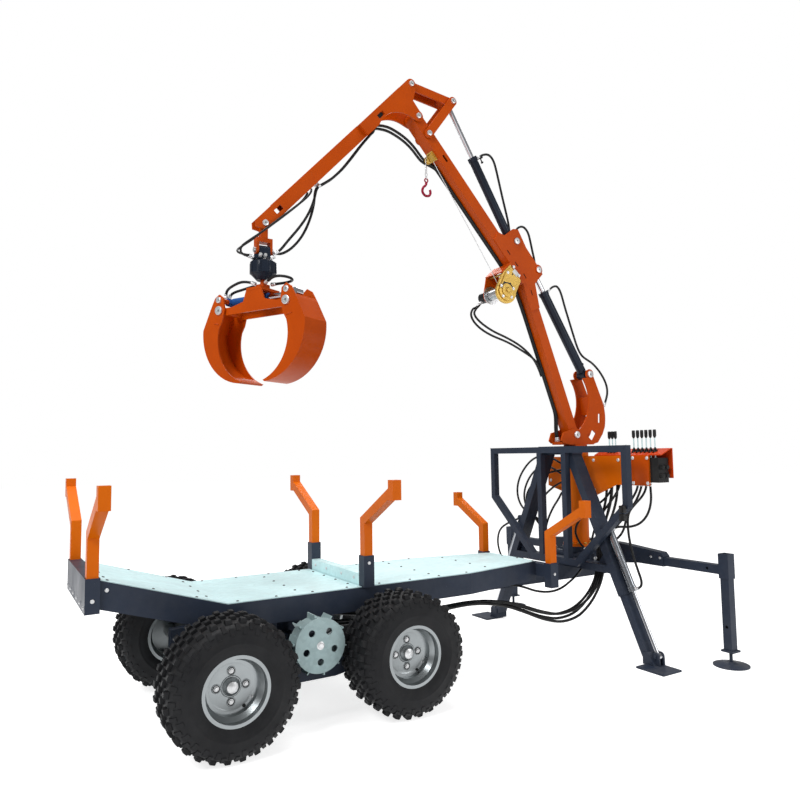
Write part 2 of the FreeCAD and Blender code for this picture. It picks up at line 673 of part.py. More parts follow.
def make_outriggers():
    half_wide = dim.sleeve_wide / 2
    half_deep = dim.sleeve_deep / 2
    hole_wide = half_wide - dim.wall
    hole_deep = half_deep - dim.wall
    tube = Solid().slab("XY", [rectangle(-half_deep, half_deep, -half_wide, half_wide)], -dim.sleeve_long, 12)
    lug = rectangle(-22, 22, -dim.ram_out - 24, -half_wide + 2)
    tube.slab("XY", [lug], -524, -498)
    tube.cut("XY", [rectangle(-hole_deep, hole_deep, -hole_wide, hole_wide)], -dim.sleeve_long - 1, -60)
    tube.place(leg_placement())
    front = dim.frame_rear + dim.sleeve_deep
    apex = block((dim.frame_rear, front), (-155, 155), (1176, 1230))
    reach_low = leg_reach(2 - half_wide, dim.spine_top)
    reach_high = leg_reach(2 - half_wide, dim.spine_top + 44)
    tie = Solid().slab("YZ", [[(-reach_low, dim.spine_top), (reach_low, dim.spine_top),
                               (reach_high, dim.spine_top + 44), (-reach_high, dim.spine_top + 44)]],
                       dim.frame_rear, front)
    inner_face = 2 - half_wide
    low, high = dim.spine_top + 40, dim.spine_top + 130
    gusset = Solid().slab("YZ", [[(-leg_reach(inner_face, low), low), (110 - leg_reach(inner_face, low), low),
                                  (-leg_reach(inner_face, high), high)]],
                          dim.frame_rear + half_deep - 5, dim.frame_rear + half_deep + 5)
    gusset.cut("YZ", [Ring(42 - leg_reach(inner_face, low), low + 28, 9)], dim.frame_rear, front)
    gusset = body_of(gusset)
    tube = body_of(tube)
    strap = block((front - 1, dim.mast_x - 60), (-62, 62), (1186, 1210))
    strap = without(strap, rod("z", (dim.mast_x, 0), dim.mast_radius + 12, 1180, 1220))
    node("outrigger_frame", joined(tube, mirrored(tube), apex, body_of(tie), gusset, mirrored(gusset), strap))

    ram = Solid().turn("XZ", [(0, -524), (22, -524), (dim.ram_radius, -540), (dim.ram_radius, -870),
                              (dim.ram_radius + 3, -872), (dim.ram_radius + 3, -900), (dim.ram_rod + 1, -900),
                              (dim.ram_rod + 1, -540), (0, -540)])
    ram.place(leg_placement() * Placement(Vector(0, -dim.ram_out.value, 0), Rotation()))
    both_sides("outrigger_rams", ram)

    half_leg = dim.leg_wide / 2
    half_leg_deep = dim.leg_deep / 2
    leg = Solid().slab("XY", [rectangle(-half_leg_deep, half_leg_deep, -half_leg, half_leg)], -1240, -560)
    leg.cut("XY", [rectangle(dim.wall - half_leg_deep, half_leg_deep - dim.wall,
                             dim.wall - half_leg, half_leg - dim.wall)], -1200, -559)
    leg.place(leg_placement())
    centre = dim.frame_rear + half_deep
    pin = leg_point(dim.ram_out, dim.foot_pin)
    foot = Solid().slab("XY", [rectangle(centre - 122, centre + 28, -835, -655)], 0, 10)
    shoe = [(-640, 8), (-716, 8), (-680, 74), (-640, 74)]
    foot.slab("YZ", [shoe], centre - 46, centre + 46)
    for low_x, high_x in ((centre - 24, centre - 14), (centre + 14, centre + 24)):
        ear = [(pin[0] + 26, 8), (pin[0] - 26, 8), (pin[0] - 24, pin[1]), Via(pin[0], pin[1] + 24),
               (pin[0] + 24, pin[1])]
        foot.slab("YZ", [ear], low_x, high_x)
    foot.slab("YZ", [Ring(pin[0], pin[1], 9)], centre - 32, centre + 32)
    room = rod("x", pin, 25, centre - 13.5, centre + 13.5)
    leg_piece = joined(without(body_of(foot), without(room, rod("x", pin, 9, centre - 14, centre + 14))),
                       without(body_of(leg), room))
    left_and_right("outrigger_leg", leg_piece)

    ram_rod = Solid().turn("XZ", [(0, -860), (dim.ram_rod, -860), (dim.ram_rod, -dim.foot_pin + 16),
                                  (0, -dim.foot_pin + 16)])
    ram_rod.slab("YZ", [Ring(0, -dim.foot_pin, 20)], -13, 13)
    ram_rod.cut("YZ", [Ring(0, -dim.foot_pin, 9 + dim.running)], -14, 14)
    ram_rod.place(leg_placement() * Placement(Vector(0, -dim.ram_out.value, 0), Rotation()))
    left_and_right("outrigger_rod", ram_rod)


def make_supports():
    station = dim.arm_station
    half = dim.arm_sleeve / 2
    centre = dim.arm_height
    low = centre - half
    high = centre + half
    outline = [(0, dim.spine_top), (-180, dim.spine_top), (-330, low), (-dim.arm_end, low),
               (-dim.arm_end, high), (-500, high + 22), (-170, 600), (170, 600), (500, high + 22),
               (dim.arm_end, high), (dim.arm_end, low), (330, low), (180, dim.spine_top)]
    hole = dim.arm_hole / 2
    beam = Solid("front_crossbeam").slab("YZ", [outline], station - half, station + half)
    tunnels = [rectangle(-dim.arm_end - 1, -60, centre - hole, centre + hole),
               rectangle(60, dim.arm_end + 1, centre - hole, centre + hole)]
    beam.cut("YZ", tunnels, station - hole, station + hole)

    tube = dim.arm_tube / 2
    inner = tube - dim.wall
    arm = block((station - tube, station + tube), (half - dim.leg_out, -400), (centre - tube, centre + tube))
    arm_hole = block((station - inner, station + inner), (half + 6 - dim.leg_out, -399),
                     (centre - inner, centre + inner))
    bolt = rod("x", (-810, centre), 8, station - 40, station + 40)
    sleeve = block((station - half, station + half), (-half - dim.leg_out, half - dim.leg_out),
                   (centre - 46, centre + 91))
    leg_hole = block((station - hole, station + hole), (-hole - dim.leg_out, hole - dim.leg_out),
                     (centre - 47, centre + 92))
    left_and_right("support_arm", without(joined(arm, sleeve), arm_hole, leg_hole, bolt))

    leg = Solid().slab("XY", [rectangle(-tube, tube, -tube, tube)], 84, 600)
    leg.cut("XY", [rectangle(-inner, inner, -inner, inner)], 110, 601)
    leg.slab("XY", [rectangle(-36, 36, -36, 36)], 75, 85)
    leg.turn("XZ", [(0, 1), (dim.foot_radius - 4, 1), (dim.foot_radius, 0), (dim.foot_radius, 5), (40, 14), (20, 22),
                    (9, 22), (9, 80), (0, 80)])
    leg.cut("YZ", [Ring(0, 211, 9)], -60, 60)
    leg.place(Placement(Vector(station.value, -dim.leg_out.value, 0), Rotation()))
    left_and_right("support_leg", leg)


# ---------------------------------------------------------------- crane mast and console

def make_mast():
    centre = (dim.mast_x, 0)
    base = block((dim.mast_x - 60, dim.mast_x + 60), (-110, 110), (dim.spine_top, 562))
    plinth = rod("z", centre, 105, 545, 580)
    racks = []
    for station in (dim.mast_x - 62, dim.mast_x + 62):
        racks.append(rod("y", (station, 520), 30, -176, 176))
        racks.append(rod("y", (station, 520), 34, -190, -172))
        racks.append(rod("y", (station, 520), 34, 172, 190))
    node("slew_housing", joined(base, plinth, *racks))

    radius = dim.mast_radius
    bore = dim.mast_shaft + dim.running
    mast = Solid("crane_mast").turn("XZ", [(0, 580), (100, 580), (100, 598), (radius, 598),
                                           (radius, 1130), (radius + 12, 1136), (radius + 12, dim.mast_top),
                                           (bore, dim.mast_top), (bore, 1100), (0, 1100)])
    mast.place(Placement(Vector(dim.mast_x.value, 0, 0), Rotation()))
    back = dim.mast_x - 4
    front = dim.mast_x + 4
    right = [(-69, 1165), (-69, 900), (-140, 900), (-340, 985), (-590, 985), (-590, 1165)]
    left = [(69, 1160), (69, 925), (110, 922), (262, 965), (262, 1115), (205, 1160)]
    wings = Solid().slab("YZ", [right], back, front)
    other = Solid().slab("YZ", [left], back, front)
    tool = joined(rod("z", centre, radius + 0.01, 850, 1131), rod("z", centre, radius + 12.01, 1130, 1220))
    node("console_panels", group(without(body_of(wings), tool), without(body_of(other), tool)))

    cover = [(front, 1165), (front, 1171), (dim.mast_x + 92, 1207), (dim.mast_x + 108, 1207),
             (dim.mast_x + 108, 1030), (dim.mast_x + 102, 1030), (dim.mast_x + 102, 1201),
             (dim.mast_x + 93, 1201), (dim.mast_x + 8, 1165)]
    levers = [-250 - 25 * index for index in range(3)] + [-442 - 31 * index for index in range(6)]
    shell = Solid("console_cover").slab("XZ", [cover], -672, -160)
    slots = [rectangle(dim.mast_x + 22, dim.mast_x + 74, place - 8, place + 8) for place in levers]
    shell.cut("XY", slots, 1160, 1215)

    valves = []
    for low, high in ((-325, -225), (-650, -425)):
        valves.append(block((front, dim.mast_x + 92), (low, high), (1005, 1150)))
    node("valve_blocks", group(*valves))
    sticks = []
    for place in levers:
        stick = Solid().turn("XZ", [(0, 1150), (4, 1150), (4, 1284), (8, 1286), (9, 1314), (5, 1318), (0, 1318)])
        stick.place(Placement(Vector(dim.mast_x.value + 48, place, 0), Rotation()))
        sticks.append(body_of(stick))
    node("control_levers", group(*sticks))


def make_head():
    inner = dim.head_gap
    outer = dim.head_gap + dim.plate
    cheek = [(1479, 1698), (1561, 1525), Via(1578, 1440), (1571, 1358), (1547, 1310), (1501, 1254),
             (1445, 1240), (1246, 1240), (1184, 1250), (1165, 1266), (1186, 1318), (1290, 1345), (1317, 1328),
             Via(1428, 1500), (1378, 1682)]
    window = [(1454, 1338), (1486, 1314), (1447, 1263), (1396, 1301)]
    head = Solid("crane_head")
    head.turn("XZ", [(0, 1130), (dim.mast_shaft, 1130), (dim.mast_shaft, 1217), (76, 1217), (76, 1242), (0, 1242)])
    shift = dim.mast_x
    head.slab("XZ", [shifted(rectangle(1190, 1470, 1240, 1258), -shift)], -inner - 1, inner + 1)
    for low, high in ((-outer, -inner), (inner, outer)):
        head.slab("XZ", [shifted(cheek, -shift)], low, high)
        head.slab("XZ", [Ring(dim.lift_base_x - shift, dim.lift_base_z, 34),
                         Ring(dim.pivot_x - shift, dim.pivot_z, 40)], low, high)
    head.slab("XZ", [shifted([(1452, 1560), (1462, 1560), (1476, 1440), (1466, 1440)], -shift)], -inner - 1, inner + 1)
    head.cut("XZ", [shifted(slot((1520, 1416), 87, 60, 22), -shift), shifted(window, -shift)], -outer - 1, outer + 1)
    head.slab("XZ", [Ring(dim.pivot_x - shift, dim.pivot_z, dim.big_pin),
                     Ring(dim.lift_base_x - shift, dim.lift_base_z, dim.pin)], -outer - 6, outer + 6)
    head.place(Placement(Vector(shift.value, 0, 0), Rotation()))


# ---------------------------------------------------------------- booms and rams

def ram_barrel(name, radius, rod_radius, long, eye, half_eye, pin):
    """A ram's barrel in its own frame: base eye at the origin, barrel up +Z, open for its rod."""
    piece = Solid(name)
    piece.turn("XZ", [(0, eye - 6), (radius - 6, eye - 6), (radius, eye), (radius, long - 30),
                      (radius + 3, long - 28), (radius + 3, long), (rod_radius + 0.5, long),
                      (rod_radius + 0.5, 70), (0, 70)])
    piece.slab("XZ", [Ring(0, 0, eye)], -half_eye, half_eye)
    piece.slab("YZ", [Ring(0, 66, 9), Ring(0, long - 16, 9)], radius - 4, radius + 10)
    piece.cut("XZ", [Ring(0, 0, pin + dim.running)], -half_eye - 1, half_eye + 1)
    return piece


def ram_piston(name, rod_radius, start, long, eye, half_eye):
    """A ram's rod in its barrel's frame, with a plain eye at the far pin."""
    piece = Solid(name)
    piece.turn("XZ", [(0, start), (rod_radius, start), (rod_radius, long - eye + 6), (0, long - eye + 6)])
    piece.slab("XZ", [Ring(0, long, eye)], -half_eye, half_eye)
    return piece


def make_boom():
    deep = dim.boom_deep
    half = dim.boom_half
    end = along(BEND, ELBOW, distance(BEND, ELBOW) + 4)
    outline = bar([along(PIVOT, BEND, -8), BEND, end], deep)
    boom = Solid("main_boom").slab("XZ", [outline], -half, half)
    boom.slab("XZ", [Ring(*PIVOT, 42), Ring(*ELBOW, 35)], -half, half)
    hollow = bar([along(PIVOT, BEND, 75), BEND, along(BEND, ELBOW, distance(BEND, ELBOW) - 190)], deep - 12)
    boom.cut("XZ", [hollow], 6 - half, half - 6)
    face = deep.value / 2
    knee = [(955, 2096), (1021, 2126), (989, 2280), (1056, 2351), (1000, 2420), (922, 2506), (856, 2617),
            (814, 2614), (744, 2560), (693, 2574), along(BEND, ELBOW, 350, face), along(BEND, ELBOW, 18, face)]
    for low, high in ((-half - 8, -half), (half, half + 8)):
        boom.slab("XZ", [knee], low, high)
        boom.slab("XZ", [Ring(*JIB_BASE, 40), Ring(*LIFT_EYE, 36)], low, high)
    seams = [slot(point, angle, 36, 9) for point, angle in
             (((774, 2455), 133), ((837, 2387), 133), ((904, 2319), 125), ((957, 2217), 112))]
    for low, high in ((-half - 9, -half - 3), (half + 3, half + 9)):
        boom.cut("XZ", seams, low, high)
    boom.cut("XZ", [slot(along(BEND, ELBOW, 920, -4), 132.7, 46, 16)], -half - 1, half + 1)
    boom.cut("XZ", [Ring(*PIVOT, dim.big_pin + dim.running), Ring(*ELBOW, dim.pin + dim.running),
                    Ring(*ROCKER, dim.pin + dim.running)], -half - 1, half + 1)
    boom.slab("XZ", [Ring(*JIB_BASE, dim.pin)], -half - 16, half + 16)
    for low, high in ((-half - 16, -half - 7), (half + 7, half + 16)):
        boom.slab("XZ", [Ring(*LIFT_EYE, 22)], low, high)
    # angle bracket and far cheek that carry the winch
    seat = [along(BEND, ELBOW, place, aside)
            for place, aside in ((14, face), (173, face), (173, face + 18), (14, face + 18))]
    boom.slab("XZ", [seat], -66, 8)
    flange = [along(BEND, ELBOW, place, aside)
              for place, aside in ((165, face + 16), (173, face + 16), (173, face + 107), (165, face + 107))]
    boom.slab("XZ", [flange], -66, 100)
    cheek = [along(BEND, ELBOW, 60, face + 18), along(BEND, ELBOW, 168, face + 18),
             along(BEND, ELBOW, 168, face + 107), (dim.drum_x - 52, dim.drum_z + 6),
             Via(dim.drum_x, dim.drum_z - 52), (dim.drum_x + 52, dim.drum_z + 6)]
    boom.slab("XZ", [cheek], 92, 100)

    lift_long = distance(LIFT_BASE, LIFT_EYE)
    ram_barrel("lift_ram_barrel", 30, 17, 640, 30, 34, dim.pin).place(toward(LIFT_BASE, LIFT_EYE))
    ram_piston("lift_ram_rod", 17, 150, lift_long, 30, 28).place(toward(LIFT_BASE, LIFT_EYE))
    jib_long = distance(JIB_BASE, KNUCKLE)
    ram_barrel("jib_ram_barrel", 27, 14, 588, 28, 28, dim.pin).place(toward(JIB_BASE, KNUCKLE))
    ram_piston("jib_ram_rod", 14, 330, jib_long, 24, 16).place(toward(JIB_BASE, KNUCKLE))


def on_jib(distance_up, aside):
    """A point measured up the jib from its tip pin, and aside towards its upper face."""
    run = (math.cos(math.radians(47.3)), math.sin(math.radians(47.3)))
    return (dim.tip_x.value + run[0] * distance_up - run[1] * aside,
            dim.tip_z.value + run[1] * distance_up + run[0] * aside)


def make_jib():
    inner = dim.boom_half + 5
    outer = inner + dim.plate
    half = dim.jib_half
    tube = [on_jib(-20, -30), on_jib(930, -30), on_jib(930, 44), on_jib(-30, 44), on_jib(-52, 20)]
    jib = Solid("jib").slab("XZ", [tube], -half, half)
    hollow = [on_jib(90, -24), on_jib(840, -24), on_jib(840, 38), on_jib(90, 38)]
    jib.cut("XZ", [hollow], 6 - half, half - 6)
    jib.cut("XZ", [[on_jib(-60, -40), on_jib(80, -40), on_jib(80, 34), on_jib(-8, 34), on_jib(-20, 50),
                    on_jib(-60, 50)]], -21, 21)
    jib.slab("XZ", [[on_jib(845, -30), on_jib(925, -30), on_jib(925, 44), on_jib(845, 44)]], -inner, inner)
    cheek = [on_jib(840, -30), on_jib(950, -30), Via(-18, 3168), (60, 3158), (dim.elbow_x - 8, dim.elbow_z - 32),
             (dim.elbow_x + 32, dim.elbow_z + 6), (70, 3262), (90, 3350), (dim.horn_x - 6, dim.horn_z + 29),
             (dim.horn_x - 24, dim.horn_z + 20), on_jib(840, 44)]
    for low, high in ((-outer, -inner), (inner, outer)):
        jib.slab("XZ", [cheek], low, high)
        jib.slab("XZ", [Ring(*ELBOW, 32), Ring(*HORN, 30)], low, high)
    for place in (112, 1000):
        jib.cut("XZ", [slot(on_jib(place, 4), 47.3, 52, 24)], -outer - 1, outer + 1)
    jib.slab("XZ", [Ring(*ELBOW, dim.pin), Ring(*HORN, 14)], -outer - 6, outer + 6)
    jib.slab("XZ", [Ring(*TIP, 14)], -half - 6, half + 6)

    reach = distance(HORN, KNUCKLE)
    angle = math.degrees(math.atan2(KNUCKLE[1].value - HORN[1].value, KNUCKLE[0].value - HORN[0].value))
    tie = Solid("tie_link")
    for low, high in ((-40, -30), (30, 40)):
        tie.slab("XZ", [rectangle(0, reach, -25, 25)], low, high)
        tie.slab("XZ", [Ring(0, 0, 25), Ring(reach, 0, 25)], low, high)
    tie.slab("XZ", [rectangle(45, reach - 62, 15, 25)], -31, 31)
    tie.cut("XZ", [Ring(0, 0, 14 + dim.running)], -41, 41)
    tie.place(Placement(Vector(HORN[0].value, 0, HORN[1].value), Rotation(Vector(0, 1, 0), -angle)))

    arm = distance(ROCKER, KNUCKLE)
    angle = math.degrees(math.atan2(KNUCKLE[1].value - ROCKER[1].value, KNUCKLE[0].value - ROCKER[0].value))
    rocker = Solid("rocker_link")
    for low, high in ((-outer, -inner), (inner, outer)):
        rocker.slab("XZ", [rectangle(0, arm, -26, 26)], low, high)
        rocker.slab("XZ", [Ring(0, 0, 28), Ring(arm, 0, 27)], low, high)
    rocker.slab("XZ", [Ring(0, 0, dim.pin)], -outer - 6, outer + 6)
    for low, high in ((-outer - 6, -41), (41, outer + 6)):
        rocker.slab("XZ", [Ring(arm, 0, 14)], low, high)
    rocker.place(Placement(Vector(ROCKER[0].value, 0, ROCKER[1].value), Rotation(Vector(0, 1, 0), -angle)))


def make_winch():
    """The winch's gear case, drum and motor under the boom's bend, and the rope's sheave near the elbow."""
    drum = (dim.drum_x, dim.drum_z)
    face = dim.boom_deep.value / 2
    case = [along(BEND, ELBOW, 164, face + 19), along(BEND, ELBOW, 164, face + 101),
            (drum[0] - 78, drum[1] + 5), Via(drum[0], drum[1] - 78), (drum[0] + 78, drum[1] - 5),
            along(BEND, ELBOW, 40, face + 19)]
    frame = Solid("winch_frame").slab("XZ", [case], -66, -48)
    cover = [along(BEND, ELBOW, 152, face + 31), along(BEND, ELBOW, 152, face + 89),
             (drum[0] - 62, drum[1] + 5), Via(drum[0], drum[1] - 62), (drum[0] + 62, drum[1] - 5),
             along(BEND, ELBOW, 58, face + 31)]
    frame.slab("XZ", [cover], -74, -65)
    frame.slab("XZ", [Ring(drum[0], drum[1], 40)], -80, -73)
    for tie in (along(BEND, ELBOW, 146, face + 84), along(BEND, ELBOW, 66, face + 40)):
        frame.slab("XZ", [Ring(*tie, 7)], -49, 92)
    frame.cut("XZ", [Ring(*drum, 12 + dim.running)], -70, -47)
    reel = Solid("winch_drum").slab("XZ", [Ring(*drum, 28)], -44, 87)
    for low, high in ((-45, -40), (83, 88)):
        reel.slab("XZ", [Ring(*drum, 58)], low, high)
    reel.slab("XZ", [Ring(*drum, 12)], -69, 91.7)
    motor = Solid("winch_motor").slab("XZ", [Ring(*drum, 46)], 100, 110)
    motor.slab("XZ", [Ring(*drum, 34)], 109, 178)
    motor.slab("XZ", [Ring(*drum, 26)], 177, 188)

    wheel = along(BEND, ELBOW, 972, face + 36)
    bracket = Solid("rope_sheave")
    base = [along(BEND, ELBOW, place, aside)
            for place, aside in ((944, face), (1004, face), (1004, face + 7), (944, face + 7))]
    bracket.slab("XZ", [base], -30, 30)
    cheek = [along(BEND, ELBOW, 1000, face + 6), along(BEND, ELBOW, 990, face + 44),
             along(BEND, ELBOW, 958, face + 50), along(BEND, ELBOW, 948, face + 6)]
    for low, high in ((-22, -17), (17, 22)):
        bracket.slab("XZ", [cheek], low, high)
    bracket.slab("XZ", [Ring(*wheel, 24)], -15, -9)
    bracket.slab("XZ", [Ring(*wheel, 19)], -10, 10)
    bracket.slab("XZ", [Ring(*wheel, 24)], 9, 15)
    bracket.slab("XZ", [Ring(*wheel, 8)], -27, 27)


# ---------------------------------------------------------------- rotator and grapple

def make_rotator():
    across = dim.tip_x
    link = Solid("hanger_link").slab("XZ", [Ring(*TIP, 24)], -20, 20)
    link.slab("XZ", [rectangle(across - 18, across + 18, 2290, TIP[1])], -20, 20)
    link.slab("XZ", [rectangle(across - 42, across + 42, 2284, 2306)], -24, 24)
    for low, high in ((across - 42, across - 30), (across + 30, across + 42)):
        link.slab("YZ", [rectangle(-24, 24, dim.hang_z, 2290), ], low, high)
        link.slab("YZ", [Ring(0, dim.hang_z, 24)], low, high)
    link.cut("XZ", [Ring(*TIP, 14 + dim.running)], -21, 21)
    link.slab("YZ", [Ring(0, dim.hang_z, 12)], across - 48, across + 48)

    radius = dim.rotator_radius
    drum = Solid().turn("XZ", [(0, 2212), (36, 2212), (38, 2190), (radius - 6, 2186), (radius, 2180),
                                           (radius, 2122), (radius - 8, 2114), (34, 2088), (15 + dim.running, 2088),
                                           (15 + dim.running, 2150), (0, 2150)])
    drum.place(Placement(Vector(across.value, 0, 0), Rotation()))
    lug = Solid().slab("YZ", [[(-30, 2205), (30, 2205), (26, dim.hang_z), Via(0, dim.hang_z + 26),
                               (-26, dim.hang_z)]], across - 29, across + 29)
    pin_hole = rod("x", (0, dim.hang_z), 12 + dim.running, across - 31, across + 31)
    node("rotator", without(joined(body_of(drum), body_of(lug)), pin_hole))


def grapple_placement():
    """The grapple's own frame: X across the claws towards the right, hinge axes along Y."""
    return Placement(Vector(dim.tip_x.value, 0, 0), Rotation(Vector(0, 0, 1), dim.grapple_turn.value - 90))


def make_grapple():
    reach = dim.claw_half
    hinge = dim.claw_z
    ear = hinge + dim.ear_rise
    wide = dim.claw_wide
    frame = Solid("grapple_frame")
    frame.slab("XY", [Ring(0, 0, 15)], 2062, 2148)
    frame.slab("XY", [rectangle(-24, 24, -24, 24)], 2040, 2066)
    frame.slab("XY", [rectangle(-46, 46, 12 - wide, wide - 12)], 2028, 2042)
    side = [(-reach, hinge - 26), (reach, hinge - 26), (reach, hinge + 12), (reach - 75, hinge + 12),
            (70, hinge + 30), (46, 2040), (-46, 2040), (-70, hinge + 30), (75 - reach, hinge + 12),
            (-reach, hinge + 12)]
    for low, high in ((13 - wide, 21 - wide), (wide - 21, wide - 13)):
        frame.slab("XZ", [side], low, high)
        frame.slab("XZ", [Ring(-reach, hinge, 30), Ring(reach, hinge, 30)], low, high)
    frame.slab("XZ", [Ring(-reach, hinge, dim.pin), Ring(reach, hinge, dim.pin)], -wide - 5, wide + 5)
    frame.place(grapple_placement())

    outline = [(reach - 38, hinge), (reach - 20, hinge - 60), (224, 1852), Via(224, 1722), (74, 1566),
               (84, 1558), Via(300, 1690), (338, 1850), (reach + 62, hinge + 10), (reach + 30, ear + 12),
               (reach, ear + 30), (reach - 28, ear + 10)]
    cavity = [(reach - 60, hinge + 100), (reach - 60, hinge - 60), (200, 1852), Via(196, 1740), (92, 1580),
              (122, 1590), Via(288, 1700), (327, 1850), (reach + 52, hinge + 8), (reach + 60, hinge + 100)]
    claw = Solid().slab("XZ", [outline], -wide, wide)
    claw.cut("XZ", [cavity], 8 - wide, wide - 8)
    claw.cut("XZ", [Ring(reach, hinge, dim.pin + dim.running)], -wide - 1, wide + 1)
    claw.place(grapple_placement())
    node("right_claw", body_of(claw))
    left = Solid("left_claw")
    left.slab("XZ", [flipped(outline)], -wide, wide)
    left.cut("XZ", [flipped(cavity)], 8 - wide, wide - 8)
    left.cut("XZ", [Ring(-reach, hinge, dim.pin + dim.running)], -wide - 1, wide + 1)
    left.slab("XZ", [Ring(-reach, ear, 13)], -wide - 5, wide + 5)
    left.place(grapple_placement())

    lying = Placement(Vector(-reach.value, 0, ear.value), Rotation(Vector(0, 1, 0), 90))
    radius = dim.grapple_ram
    barrel = Solid("grapple_ram_barrel")
    barrel.turn("XZ", [(0, 18), (radius - 3, 18), (radius, 21), (radius, 262), (12.5, 262), (12.5, 40), (0, 40)])
    barrel.slab("XZ", [Ring(0, 0, 21)], -24, 24)
    barrel.cut("XZ", [Ring(0, 0, 13 + dim.running)], -25, 25)
    barrel.place(grapple_placement() * lying)
    piston = Solid("grapple_ram_rod")
    piston.turn("XZ", [(0, 150), (12, 150), (12, reach * 2 - 15), (0, reach * 2 - 15)])
    piston.slab("XZ", [Ring(0, reach * 2, 20)], -24, 24)
    piston.place(grapple_placement() * lying)


# ---------------------------------------------------------------- hoses

def make_hoses():
    """Hoses that their own body holds all the way: valves to roller motors, along the boom, under the jib."""
    near = dim.bogie_centre + 31
    far = dim.bogie_centre - 31
    end = dim.beam_outer - 35.5
    height = dim.roller_height + 26
    bed_ends = [
        [(80, -84, 335), (-40, -50, 336), (-160, 0, 340), (-280, 58, 346), (-395, 115, 356),
         (-500, 165, 368), (-590, 212, 380), (-665, 268, 388), (near, end, height)],
        [(80, -102, 333), (-40, -72, 332), (-160, -26, 334), (-280, 28, 340), (-400, 80, 350),
         (-520, 128, 364), (-635, 182, 380), (-720, 250, 390), (far, end, height)],
        [(80, -120, 335), (-50, -126, 336), (-180, -132, 341), (-310, -140, 351), (-440, -152, 364),
         (-570, -172, 378), (-670, -205, 388), (-738, -262, 392), (far, -end, height)],
        [(80, -138, 333), (-50, -148, 333), (-180, -158, 336), (-310, -170, 344), (-430, -186, 356),
         (-540, -210, 370), (-630, -245, 382), (-686, -290, 388), (near, -end, height)],
    ]
    starts = [(1372, -240), (1400, -258), (1372, -278), (1400, -300)]
    sags = [0, 22, -8, 34]
    lanes = [-214, -232, -250, -268]
    pieces = []
    for (x, y), sag, lane, bed in zip(starts, sags, lanes, bed_ends):
        fall = [(x, y, 1004.7), (x - 8, y + 1, 905), (x - 34, (y + lane) / 2, 800), (1308, lane - 3, 700),
                (1293, lane, 595), (1290, lane, 490), (1262, lane + 6, 385)]
        sweep = [(1195, lane + 22, 292 - sag / 2), (1095, lane + 40, 228 - sag), (975, lane + 62, 206 - sag),
                 (850, lane + 84, 236 - sag), (725, lane + 104, 284 - sag * 0.8),
                 (600, lane + 118, 322 - sag / 2), (470, lane + 126, 340 - sag * 0.2),
                 (340, lane + 130, 345), (210, lane + 131, 340)]
        pieces.append(hose(fall + sweep + bed, dim.hose))
    node("frame_hoses", group(*pieces))

    seat = dim.boom_deep.value / 2 + dim.thin_hose.value + 0.3
    route = [along(PIVOT, BEND, 190, seat), along(PIVOT, BEND, 885, seat), along(PIVOT, BEND, 1046, seat + 8),
             along(BEND, ELBOW, 150, seat), along(BEND, ELBOW, 900, seat)]
    node("boom_hoses", group(*[hose([(x, y, z) for x, z in route], dim.thin_hose) for y in (18.5, 33.5)]))

    route = [on_jib(905, -37.4), on_jib(800, -45), on_jib(690, -60), on_jib(590, -70), on_jib(500, -68),
             on_jib(448, -59), on_jib(400, -49)]
    node("jib_hoses", group(*[hose([(x, y, z) for x, z in route], dim.thin_hose) for y in (-9, 9)]))


# ---------------------------------------------------------------- build, check and write

make_bed()
make_bunks()
make_headboard()
make_bogie()
make_wheels()
make_outriggers()
make_supports()
make_mast()
make_head()
make_boom()
make_jib()
make_winch()
make_rotator()
make_grapple()
make_hoses()
doc.recompute()

for item in doc.Objects:
    if "Invalid" in item.State or "Error" in item.State:
        raise RuntimeError("%s of %s failed: %s" % (item.Name, [owner.Label for owner in item.InListRecursive],
                                                    item.State))
for before, pocket in CUTS:
    if before.Shape.Volume - pocket.Shape.Volume < 1:
        raise RuntimeError("%s cuts nothing" % pocket.Label)
os.makedirs("parts", exist_ok=True)
for name, item in NODES.items():
    shape = item.Shape
    if shape.isNull() or not shape.isValid():
        raise RuntimeError("%s has no valid shape" % name)
for name, item in NODES.items():
    item.Shape.exportStep("parts/%s.step" % name)
print(len(NODES), "sub-parts written")
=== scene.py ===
"""Forestry trailer with crane: finishes, treads, fasteners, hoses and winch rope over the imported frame."""
import json
import math

import bmesh
import bpy
from mathutils import Matrix, Vector


